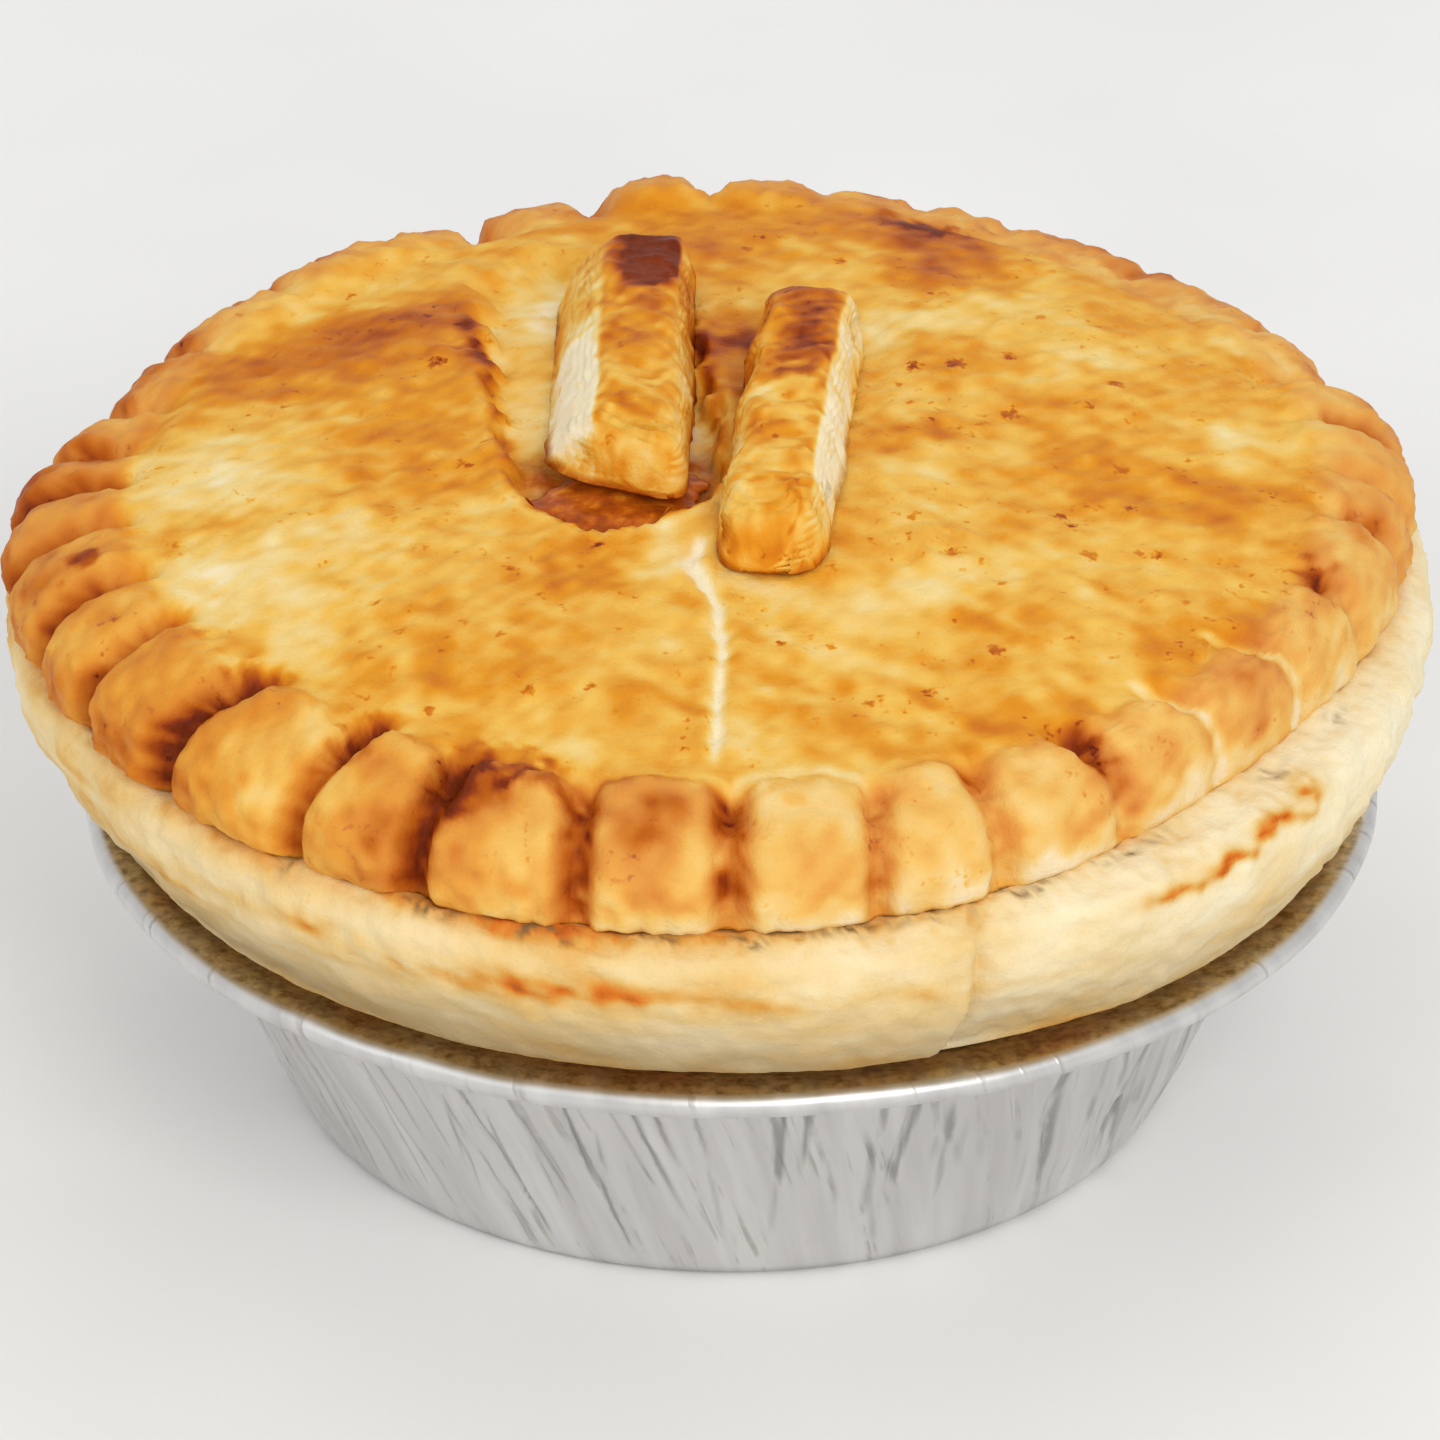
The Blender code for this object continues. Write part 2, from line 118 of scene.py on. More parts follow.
def quarter(centre, radii, start, end, count):
    # points of an elliptical arc between two angles in degrees
    turn = np.radians(np.linspace(start, end, count))
    return np.stack([centre[0] + radii[0] * np.cos(turn), centre[1] + radii[1] * np.sin(turn)], axis=1)


def makePiece(name, points, material, node, slot, upward=True, **fields):
    # A closed skin from a grid of points (rows, columns, 3) in mm. The columns run all the way round,
    # and the first and last row each shrink to one point. fields are numbers per point.
    rows, columns = points.shape[:2]
    body = points[1:-1].reshape(-1, 3)
    poles = np.stack([points[0].mean(axis=0), points[-1].mean(axis=0)])
    verts = np.concatenate([body, poles]) * mm
    index = np.arange((rows - 2) * columns).reshape(rows - 2, columns)
    after = np.roll(index, -1, axis=1)
    quads = np.stack([index[:-1], index[1:], after[1:], after[:-1]], axis=-1).reshape(-1, 4)
    first, last = len(body), len(body) + 1
    top = np.stack([np.full(columns, first), index[0], after[0]], axis=-1)
    end = np.stack([index[-1], np.full(columns, last), after[-1]], axis=-1)
    tris = np.concatenate([top, end])
    if not upward:
        quads, tris = quads[:, ::-1], tris[:, ::-1]
    mesh = bpy.data.meshes.new(name)
    mesh.vertices.add(len(verts))
    mesh.vertices.foreach_set("co", verts.astype(np.float32).ravel())
    mesh.loops.add(quads.size + tris.size)
    mesh.loops.foreach_set("vertex_index", np.concatenate([quads.ravel(), tris.ravel()]).astype(np.int32))
    mesh.polygons.add(len(quads) + len(tris))
    starts = np.concatenate([np.arange(len(quads)) * 4, quads.size + np.arange(len(tris)) * 3])
    mesh.polygons.foreach_set("loop_start", starts.astype(np.int32))
    mesh.update(calc_edges=True)
    mesh.validate()
    mesh.shade_smooth()
    for field, values in fields.items():
        flat = np.concatenate([values[1:-1].ravel(), [values[0].mean(), values[-1].mean()]])
        mesh.attributes.new(field, "FLOAT", "POINT").data.foreach_set("value", flat.astype(np.float32))
    mesh.materials.append(material)
    piece = bpy.data.objects.new(name, mesh)
    bpy.context.scene.collection.objects.link(piece)
    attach(piece, "root")
    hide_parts(node)
    print("made", name, len(quads) * 2 + len(tris), "triangles")
    return piece


# Where the risen crust sits on its dish: shifted left, leaning back to front, dipped at the back left
crust = {
    "shift": -1.0, "lean": 0.040,
    "dip": 2.0, "dipAngle": 240.0, "dipSpread": 42.0,
    "riseFrom": 27.6, "riseTo": 45.3,
}


def crustTilt(x, y):
    dip = bell(turnFrom(directionOf(x, y), crust["dipAngle"]), crust["dipSpread"])
    return crust["lean"] * y - crust["dip"] * dip * smooth(18.0, 52.0, np.hypot(x, y))


def settle(x, y, z):
    # z + tilt * share and x + shift * share, where share grows from the dish's rim to the ledge
    risen = smooth(crust["riseFrom"], crust["riseTo"], z)
    return np.stack([x + crust["shift"] * risen, y, z + crustTilt(x, y) * risen], axis=-1)


# Materials

def tint(red, green, blue):
    # a screen colour, 0 to 255, as the linear colour that the shader takes
    values = np.array([red, green, blue]) / 255.0
    linear = np.where(values <= 0.04045, values / 12.92, ((values + 0.055) / 1.055) ** 2.4)
    return (*[float(v) for v in linear], 1.0)


class Finish:
    # A material with its nodes, laid out from left to right as they are added

    def __init__(self, name, **sockets):
        self.material = bpy.data.materials.new(name)
        self.material.use_nodes = True
        self.tree = self.material.node_tree
        self.shader = self.tree.nodes["Principled BSDF"]
        for socket, value in sockets.items():
            self.shader.inputs[socket.replace("_", " ")].default_value = value
        self.place = self.add("ShaderNodeTexCoord").outputs["Object"]

    def add(self, kind, **settings):
        node = self.tree.nodes.new(kind)
        node.location = (-220 * (len(self.tree.nodes) % 9), -260 * (len(self.tree.nodes) // 9))
        for setting, value in settings.items():
            setattr(node, setting, value)
        return node

    def link(self, source, target):
        self.tree.links.new(source, target)

    def field(self, name):
        return self.add("ShaderNodeAttribute", attribute_name=name).outputs["Fac"]

    def vectorMath(self, operation, source, value=None):
        node = self.add("ShaderNodeVectorMath", operation=operation)
        self.link(source, node.inputs[0])
        if value:
            node.inputs[1].default_value = value
        return node.outputs["Vector"]

    def aroundWall(self, radius, lean, flatten):
        # Object coordinates pushed out to a cylinder, turned by lean mm per mm of height, z flattened
        parts = self.add("ShaderNodeSeparateXYZ")
        self.link(self.place, parts.inputs[0])
        level = self.vectorMath("MULTIPLY", self.place, (1.0, 1.0, 0.0))
        unit = self.vectorMath("NORMALIZE", level)
        swing = self.add("ShaderNodeMath", operation="MULTIPLY")
        self.link(parts.outputs["Z"], swing.inputs[0])
        swing.inputs[1].default_value = lean / (radius * mm)
        turned = self.add("ShaderNodeVectorRotate", rotation_type="Z_AXIS")
        self.link(unit, turned.inputs["Vector"])
        self.link(swing.outputs[0], turned.inputs["Angle"])
        upright = self.vectorMath("MULTIPLY", self.place, (0.0, 0.0, flatten))
        joined = self.add("ShaderNodeVectorMath", operation="MULTIPLY_ADD")
        self.link(turned.outputs["Vector"], joined.inputs[0])
        joined.inputs[1].default_value = (radius * mm, radius * mm, 0.0)
        self.link(upright, joined.inputs[2])
        return joined.outputs["Vector"]

    def noise(self, size, detail=3.0, roughness=0.55, place=None):
        # noise with features of about size mm on Object coordinates or on the given place
        node = self.add("ShaderNodeTexNoise")
        node.inputs["Scale"].default_value = 1.0 / (size * mm)
        node.inputs["Detail"].default_value = detail
        node.inputs["Roughness"].default_value = roughness
        self.link(place or self.place, node.inputs["Vector"])
        return node.outputs["Fac"]

    def sum(self, first, second, factor=1.0, offset=0.0):
        # first + second * factor + offset
        scaled = self.add("ShaderNodeMath", operation="MULTIPLY_ADD")
        self.link(second, scaled.inputs[0])
        scaled.inputs[1].default_value = factor
        scaled.inputs[2].default_value = offset
        total = self.add("ShaderNodeMath", operation="ADD")
        self.link(first, total.inputs[0])
        self.link(scaled.outputs[0], total.inputs[1])
        return total.outputs[0]

    def times(self, first, second):
        node = self.add("ShaderNodeMath", operation="MULTIPLY")
        self.link(first, node.inputs[0])
        self.link(second, node.inputs[1])
        return node.outputs[0]

    def span(self, source, low, high, out=(0.0, 1.0)):
        # source from low..high to out[0]..out[1], held at the ends
        node = self.add("ShaderNodeMapRange", interpolation_type="SMOOTHSTEP")
        self.link(source, node.inputs["Value"])
        for socket, value in zip(("From Min", "From Max", "To Min", "To Max"), (low, high, *out)):
            node.inputs[socket].default_value = value
        return node.outputs["Result"]

    def ramp(self, source, stops):
        # colours by position, stops are (position, colour)
        node = self.add("ShaderNodeValToRGB")
        self.link(source, node.inputs["Fac"])
        elements = node.color_ramp.elements
        while len(elements) < len(stops):
            elements.new(0.5)
        for element, (position, colour) in zip(elements, stops):
            element.position = position
            element.color = colour
        return node.outputs["Color"]

    def mix(self, factor, first, second, blend="MIX"):
        node = self.add("ShaderNodeMix", data_type="RGBA", blend_type=blend)
        self.link(factor, node.inputs["Factor"])
        for socket, value in (("A", first), ("B", second)):
            sockets = [i for i in node.inputs if i.name == socket and i.type == "RGBA"]
            if isinstance(value, tuple):
                sockets[0].default_value = value
            else:
                self.link(value, sockets[0])
        return [o for o in node.outputs if o.type == "RGBA"][0]

    def relief(self, heights):
        # bumps from (height source, depth in mm), one after another
        normal = None
        for source, depth in heights:
            node = self.add("ShaderNodeBump")
            node.inputs["Distance"].default_value = depth * mm
            self.link(source, node.inputs["Height"])
            if normal:
                self.link(normal, node.inputs["Normal"])
            normal = node.outputs["Normal"]
        self.link(normal, self.shader.inputs["Normal"])

    def colour(self, source):
        self.link(source, self.shader.inputs["Base Color"])

    def rough(self, source):
        self.link(source, self.shader.inputs["Roughness"])


goldenTones = [
    (0.00, tint(249, 238, 206)), (0.18, tint(244, 215, 142)), (0.36, tint(240, 190, 86)),
    (0.52, tint(229, 153, 38)), (0.66, tint(211, 123, 26)), (0.80, tint(184, 92, 22)),
    (0.92, tint(148, 60, 18)), (1.00, tint(104, 38, 14)),
]
paleTones = [
    (0.00, tint(248, 238, 206)), (0.25, tint(243, 223, 178)), (0.50, tint(234, 200, 134)),
    (0.70, tint(223, 164, 78)), (0.86, tint(220, 120, 38)), (1.00, tint(176, 88, 30)),
]


def bakedFinish(name, tones, sheen, mottle, specks):
    # Pastry: tone from a field of browning with painted shade and highlight, and two noises, dark specks,
    # grey-brown flecks with painted shade, gravy where the field "gravy" says
    made = Finish(name, Specular_IOR_Level=0.05, Subsurface_Weight=0.06, Subsurface_Scale=0.4 * mm)
    made.shader.inputs["Subsurface Radius"].default_value = (1.0, 0.5, 0.2)
    broad = made.noise(8.0, detail=4.0)
    fine = made.noise(0.9, detail=4.0, roughness=0.65)
    grain = made.noise(0.28, detail=2.0)
    tone = made.sum(made.field("baked"), broad, mottle, -mottle / 2)
    tone = made.sum(tone, fine, mottle * 0.9, -mottle * 0.45)
    dots = made.span(made.noise(1.1, detail=2.0), 0.60, 0.76)
    speck = made.times(dots, made.span(made.noise(7.0), 0.45, 0.65))
    tone = made.sum(tone, speck, specks)
    spot = made.sum(made.field("speck"), made.noise(0.6, detail=3.0), 1.4, -0.70)
    tone = made.sum(tone, made.times(made.span(spot, 0.40, 0.80), made.noise(3.0, detail=0.0)), 0.62)
    colour = made.ramp(tone, tones)
    stain = made.field("gravy")
    sauce = made.ramp(made.noise(1.6, detail=3.0), [
        (0.30, tint(156, 72, 12)), (0.52, tint(190, 98, 20)), (0.75, tint(224, 142, 46)),
    ])
    colour = made.mix(made.field("dull"), colour, tint(222, 176, 132))
    # grey-brown flecks, with painted shade low on the band mixed in by the same field
    colour = made.mix(made.field("fleck"), colour, tint(132, 102, 66))
    made.colour(made.mix(stain, colour, sauce))
    made.rough(made.sum(made.span(tone, 0.1, 0.7, (0.62, sheen)), stain, -0.06))
    made.relief([(broad, 0.25), (fine, 0.16), (grain, 0.05)])
    return made.material


goldenPastry = bakedFinish("goldenPastry", goldenTones, 0.40, 0.12, 0.30)
palePastry = bakedFinish("palePastry", paleTones, 0.60, 0.16, 0.08)


def gravyFinish():
    # brown to amber by a noise, with a soft shine
    made = Finish("bakedGravy", Specular_IOR_Level=0.15, Coat_Weight=0.04, Coat_Roughness=0.15)
    made.colour(made.ramp(made.noise(1.4, detail=3.0), [
        (0.30, tint(148, 64, 8)), (0.52, tint(186, 88, 12)), (0.75, tint(222, 134, 34)),
    ]))
    made.rough(made.span(made.noise(0.8), 0.3, 0.7, (0.26, 0.50)))
    made.relief([(made.noise(1.4, detail=3.0), 0.12)])
    return made.material


def foilFinish():
    # metal with noises stretched up the wall, painted shade in the wrinkles and on one side of each
    # crease, and a brown juice stain with painted reflection of the crust on the flange
    made = Finish("pressedFoil", Metallic=1.0)
    grease = made.field("grease")
    around = made.aroundWall(dish["wallRadius"], 0.25, 0.09)
    brushed = made.noise(2.6, detail=3.0, place=around)
    clean = made.ramp(brushed, [(0.32, tint(206, 204, 203)), (0.68, tint(226, 225, 223))])
    wrinkle = made.noise(0.9, detail=2.0, place=made.aroundWall(dish["wallRadius"], 0.30, 0.07))
    wrinkle = made.times(made.span(wrinkle, 0.56, 0.68), made.span(made.noise(6.0), 0.44, 0.62))
    # painted shade: the fine wrinkles darker where the noise rises
    clean = made.mix(wrinkle, clean, tint(190, 187, 183))
    # painted shade on one side of each crease
    clean = made.mix(made.field("dent"), clean, tint(96, 94, 92))
    # brown juice stain and painted reflection of the crust
    juice = made.noise(0.9, detail=4.0)
    juice = made.ramp(juice, [(0.32, tint(150, 128, 92)), (0.62, tint(220, 204, 168))])
    made.colour(made.mix(grease, clean, juice))
    made.rough(made.span(brushed, 0.3, 0.7, (0.38, 0.50)))
    made.relief([(brushed, 0.03), (wrinkle, 0.05)])
    return made.material


# Foil dish
dish = {
    "baseRadius": 38.4, "topRadius": 48.6, "rimRadius": 54.6, "rimHeight": 27.6, "roll": 0.75,
    "thickness": 0.35, "corner": 2.2, "columns": 900,
    # middle of the wall, where the leaning creases are measured from
    "wallRadius": 45.0, "wallMiddle": 14.0,
    "creases": 320, "creaseHeight": 0.30, "seed": 5,
    # deep creases: direction, lean, width, height of the lower and the upper end, depth
    "deep": [
        (-27.0, -0.32, 0.30, 4.0, 20.0, -0.42), (-25.0, -0.20, 0.30, 9.0, 18.0, 0.24),
        (-16.5, -0.12, 0.30, 12.0, 26.0, -0.34), (-14.8, -0.22, 0.34, 3.0, 22.0, 0.28),
        (-8.0, -0.30, 0.30, 13.0, 24.0, -0.36), (-5.0, -0.26, 0.32, 15.0, 24.5, 0.30),
        (-2.5, -0.20, 0.30, 16.0, 23.5, -0.24), (5.0, -0.16, 0.30, 14.0, 26.5, -0.28),
        (7.0, 0.04, 0.30, 15.0, 26.0, -0.34), (18.0, 0.08, 0.32, 10.0, 22.0, -0.36),
        (24.0, -0.06, 0.30, 8.0, 20.0, 0.20), (36.0, 0.12, 0.32, 14.0, 22.0, -0.30),
        (50.0, 0.10, 0.35, 6.0, 24.0, -0.26), (-42.0, -0.15, 0.35, 5.0, 22.0, -0.28),
        (-56.0, -0.20, 0.35, 6.0, 25.0, 0.28), (-33.5, -0.25, 0.32, 12.0, 26.0, 0.26),
        (-21.0, -0.30, 0.30, 8.0, 18.0, -0.24),
    ],
}


def foilDish():
    # A profile of radius and height turned round Z, outside and back along the inside. The wall is
    # pushed in and out by size * bell(distance across a leaning crease) * reach, summed.
    d = dish
    flangeStart, flangeEnd = d["topRadius"] + 1.3, d["rimRadius"] - 2 * d["roll"]
    flange = d["rimHeight"] - 0.35
    outer = resample([
        (0.0, 0.0), (d["baseRadius"] - d["corner"], 0.0),
        (d["baseRadius"] - 0.27 * d["corner"], 0.23 * d["corner"]),
        (d["baseRadius"] + 0.09 * d["corner"], 0.82 * d["corner"]),
        (d["topRadius"] - 0.3, flange - 2.25), (d["topRadius"] + 0.2, flange - 0.95),
        (flangeStart, flange - 0.5), (flangeEnd, flange),
    ], (4, 2, 2, 28, 2, 2, 4))
    beadMiddle = (d["rimRadius"] - d["roll"], flange - 0.1 - d["roll"])
    bead = quarter(beadMiddle, (d["roll"], d["roll"]), 95, -120, 10)
    path = np.concatenate([outer, bead])
    along = np.gradient(path, axis=0)
    along /= np.linalg.norm(along, axis=1, keepdims=True)
    inside = path + d["thickness"] * np.stack([-along[:, 1], along[:, 0]], axis=1)
    profile = np.concatenate([path, inside[::-1]])
    profile[0, 0] = profile[-1, 0] = 0.0
    radius, turn, height = turnedGrid(profile, d["columns"])
    onWall = smooth(2.0, 4.5, height) * (1 - smooth(24.0, 26.8, height)) * (radius > 30)
    rng = np.random.default_rng(d["seed"])
    push = np.zeros(radius.shape)
    for _ in range(d["creases"]):
        middle, lean = rng.uniform(0, 360), rng.uniform(-0.42, 0.06)
        width, size = rng.uniform(0.22, 0.55), rng.uniform(-1, 1) * d["creaseHeight"]
        low, high = rng.uniform(1.0, 14.0), rng.uniform(12.0, 27.0)
        across = np.radians(turnFrom(turn, middle)) * d["wallRadius"] - lean * (height - d["wallMiddle"])
        reach = smooth(low - 3, low + 3, height) * (1 - smooth(high - 3, high + 3, height))
        push += size * bell(across, width) * reach
    for middle, lean, width, low, high, size in d["deep"]:
        across = np.radians(turnFrom(turn, middle)) * d["wallRadius"] - lean * (height - d["wallMiddle"])
        reach = smooth(low - 3, low + 3, height) * (1 - smooth(high - 2, high + 2, height))
        push += 1.3 * size * bell(across, width) * reach
    ring = np.stack([np.sin(np.radians(turn)) * 50, np.cos(np.radians(turn)) * 50, height], axis=-1)
    push += 0.10 * ripple(ring, 9.0, 11)
    push = onWall * np.clip(push, -0.6, 0.3)
    # painted shade and reflection: one side of each crease darker, from the crease's slope
    step = 4 * np.pi * d["wallRadius"] / d["columns"]
    slope = (np.roll(push, -1, axis=1) - np.roll(push, 1, axis=1)) / step
    dent = np.clip(1.1 * slope - 0.10, 0, 0.5)
    radius = radius + push
    onFlange = smooth(flangeStart, flangeEnd, radius)
    height = height + onFlange * 0.10 * ripple(ring * [1, 1, 0], 12.0, 12)
    points = np.stack([
        radius * np.sin(np.radians(turn)), -radius * np.cos(np.radians(turn)), height,
    ], axis=-1)
    points[..., 2] -= min(points[..., 2].min(), 0.0)
    inner = np.repeat((np.arange(len(profile)) >= len(path))[:, None], d["columns"], axis=1)
    # juice stain and painted reflection of the crust, on the wall's inside top and the flange
    stain = inner * smooth(20.0, 26.0, height) * (1 - smooth(flangeEnd + 0.8, flangeEnd + 1.2, radius))
    stain = stain * np.clip(0.88 + 0.12 * ripple(ring * [1, 1, 0.2], 2.5, 13), 0, 1)
    makePiece("foilDish", points, foilFinish(), "foil_dish", "foil", upward=False, grease=stain, dent=dent)


def edgeRecess(turn):
    # share of the lid's edge that is missing, negative where it reaches further out
    missing = lid["recess"] * bell(turnFrom(turn, lid["recessAngle"]), lid["recessSpread"])
    for middle, halfTurn, further in lid["reach"]:
        missing = missing - further * bell(turnFrom(turn, middle), halfTurn)
    return missing


def lidFootRadius(turn):
    # where the lid's edge stands on the ledge
    return lid["kept"] + (lid["footRadius"] - lid["kept"]) * (1.0 - edgeRecess(turn))


# Pale pastry case with its filling
case = {
    "radius": 60.0, "lipRadius": 54.0, "lipHeight": 30.3, "widest": 44.6,
    "ledge": 46.3, "ledgeInner": 51.0, "columns": 900,
    "overlap": 19.5, "overlapStep": 1.0, "overlapDrop": 0.9,
    "lumps": 0.5, "wave": 0.35, "slack": 0.8, "slackAngle": 304.0, "slackSpread": 20.0,
    # browner places on the band: direction, height, half-turn, half-height, amount
    "toasted": [
        (-12.0, 42.0, 5.5, 1.3, 0.34), (36.5, 44.5, 2.4, 1.0, 0.46), (41.0, 44.1, 2.4, 1.1, 0.52),
        (44.8, 44.6, 2.3, 1.2, 0.58), (48.6, 45.0, 2.3, 1.2, 0.60), (53.2, 44.9, 2.4, 1.1, 0.56),
        (-34.0, 42.5, 3.0, 1.2, 0.22), (-62.0, 40.0, 12.0, 3.0, 0.16), (-50.0, 39.0, 5.0, 1.6, 0.2),
        (-88.0, 43.0, 6.0, 2.0, 0.25), (-24.0, 41.0, 9.0, 2.0, 0.16), (5.0, 41.5, 12.0, 2.2, 0.12),
        (120.0, 43.0, 25.0, 3.0, 0.2), (180.0, 43.0, 30.0, 3.0, 0.25), (240.0, 43.0, 25.0, 3.0, 0.2),
    ],
    # grey-brown flecks on the seam: direction, half-turn, distance out from the ledge's inner
    # edge, width, amount
    "flecks": [
        (17.0, 2.6, 6.2, 0.50, 1.0), (10.0, 3.0, 6.8, 0.50, 0.9), (3.0, 2.4, 7.1, 0.45, 0.8),
        (25.0, 2.6, 5.4, 0.50, 0.9), (37.0, 2.4, 4.6, 0.45, 0.9), (33.0, 1.2, 5.2, 0.30, 0.5),
        (-5.0, 2.6, 7.3, 0.45, 0.8), (-14.0, 3.0, 7.4, 0.50, 0.8), (-23.0, 2.8, 7.2, 0.45, 0.7),
        (54.0, 1.6, 4.6, 0.40, 0.6), (64.0, 1.6, 5.0, 0.4, 0.6), (-36.0, 2.0, 7.0, 0.4, 0.4),
    ],
}


def pastryCase():
    # A profile turned round Z, its radius + lumps + overlap step + fold + ripples, then settled
    c = case
    inWall = [
        (0.0, 0.7), (36.0, 0.7), (37.3, 1.3), (38.0, 2.3), (47.6, 25.2), (48.1, 26.5), (49.6, 27.5),
        (49.9, 28.0), (53.1, 29.2),
    ]
    share = np.linspace(0.0, 1.0, 9)
    bulge = [
        (c["lipRadius"] + (c["radius"] - c["lipRadius"]) * math.sin(s * math.pi / 2),
         c["lipHeight"] + (c["widest"] - c["lipHeight"]) * s) for s in share
    ]
    top = [
        (59.5, 45.7), (58.1, c["ledge"]), (c["ledgeInner"], c["ledge"]), (50.1, 48.9), (47.0, 50.9),
        (30.0, 52.6), (0.0, 53.8),
    ]
    counts = [2, 1, 1, 4, 1, 2, 2, 7, 3] + [4] * 8 + [3, 5, 12, 2, 1, 1, 1]
    profile = resample(inWall + bulge + top, counts)
    radius, turn, height = turnedGrid(profile, c["columns"])
    t = np.radians(turn)
    onBand = smooth(28.1, c["lipHeight"], height) * smooth(51.3, 54.0, radius)
    lumps = 0.45 * np.sin(3 * t + 0.7) + 0.3 * np.sin(7 * t + 2.0) + 0.2 * np.sin(13 * t)
    past = turnFrom(turn, c["overlap"] + 0.10 * (height - 38.0) - 0.012 * (height - 38.0) ** 2)
    rightSide = smooth(-0.45, 0.45, past)
    overlap = (0.5 - rightSide) * bell(past, 40.0)
    fold = -0.6 * bell(past - 0.3, 0.8) * smooth(31.0, 34.0, height) * (1 - smooth(42.5, 44.8, height))
    place = np.stack([radius * np.sin(t), -radius * np.cos(t), height], axis=-1)
    rough = 0.16 * ripple(place, 7.0, 21) + 0.09 * ripple(place, 2.6, 22) + 0.05 * ripple(place, 1.1, 23)
    slack = c["slack"] * bell(turnFrom(turn, c["slackAngle"]), c["slackSpread"])
    radius = radius + onBand * (c["lumps"] * lumps + c["overlapStep"] * overlap + fold + rough - slack)
    low = 1.0 - smooth(c["lipHeight"], c["widest"], height)
    drop = c["wave"] * np.sin(5 * t + 1.0) - c["overlapDrop"] * overlap
    onLedge = smooth(45.4, 46.2, height) * smooth(51.3, 53.0, radius)
    flake = 0.07 * ripple(place * [1, 1, 0.2], 1.6, 24) + 0.12 * ripple(place, 4.5, 25)
    flake = flake + 0.5 * bell(radius - lidFootRadius(turn) - 0.2, 1.0)
    height = height + onBand * low * drop + onLedge * flake
    points = settle(radius * np.sin(t), -radius * np.cos(t), height)
    streaks = place * [0.35, 0.35, 1.0]
    baked = 0.34 + 0.06 * ripple(place, 12.0, 26) + 0.04 * ripple(streaks, 2.6, 27)
    # painted shade: browner low on the band and paler high up, as light falls on it
    baked += 0.06 * (1 - smooth(30.0, 37.0, height)) - 0.05 * smooth(38.0, 44.0, height)
    baked -= 0.16 * bell(turnFrom(turn, 62.0), 38.0) * smooth(34.0, 40.0, height)
    patches = np.clip(ripple(streaks, 4.0, 30) - 0.7, 0, 1.5) * smooth(36.0, 40.0, height)
    baked += 0.12 * patches * (1 - 0.7 * bell(turnFrom(turn, 50.0), 40.0))
    for middle, level, halfTurn, halfHeight, amount in c["toasted"]:
        ragged = 1.0 + 0.35 * ripple(place, 2.2, 28)
        wander = height - level - 0.25 * ripple(place, 5.0, 31)
        baked += amount * bell(turnFrom(turn, middle), halfTurn) * bell(wander, halfHeight) * ragged
    baked += 0.08 * onLedge * np.clip(ripple(place, 1.5, 29), 0, 2)
    # painted contact shade on the ledge round the lid's foot, strongest at the front
    seam = 0.12 + 0.16 * bell(turnFrom(turn, 350.0), 30.0)
    baked += seam * bell(radius - lidFootRadius(turn) - 0.4, 1.2) * smooth(44.0, 45.4, height)
    baked += 0.10 * bell(turnFrom(turn, 345.0), 45.0) * smooth(33.0, 39.0, height)
    fleck = np.zeros(radius.shape)
    for middle, halfTurn, out, width, amount in c["flecks"]:
        line = radius - c["ledgeInner"] - out + 0.35 * ripple(place, 3.0, 32)
        near = bell(turnFrom(turn, middle), halfTurn) * smooth(44.5, 45.6, height)
        fleck += amount * near * bell(line, width)
    fleck = np.clip(fleck * np.clip(0.7 + 1.1 * ripple(place, 0.9, 33), 0, 1.5), 0, 1)
    # painted shade: the band greyer and darker towards its foot, less on the lit right side, mixed into
    # the same field as the flecks
    dusk = 0.46 * (1 - smooth(30.0, 40.0, height)) + 0.18 * (1 - smooth(36.0, 44.0, height))
    dusk = dusk * (1.0 - 0.55 * bell(turnFrom(turn, 60.0), 45.0))
    fleck = np.clip(fleck + dusk * onBand, 0, 1)
    # painted shade in the overlap's fold
    baked += 0.10 * bell(past - 0.3, 0.7) * smooth(31.0, 34.0, height) * (1 - smooth(42.5, 44.8, height))
    # painted shade under the band's lip, where it meets the foil
    under = 1 - smooth(28.0, 30.6, height)
    baked = np.clip(baked + 0.20 * under, 0.02, 0.98)
    makePiece("paleCase", points, palePastry, "pastry_base", "pale_pastry", upward=False,
              baked=baked, fleck=fleck)


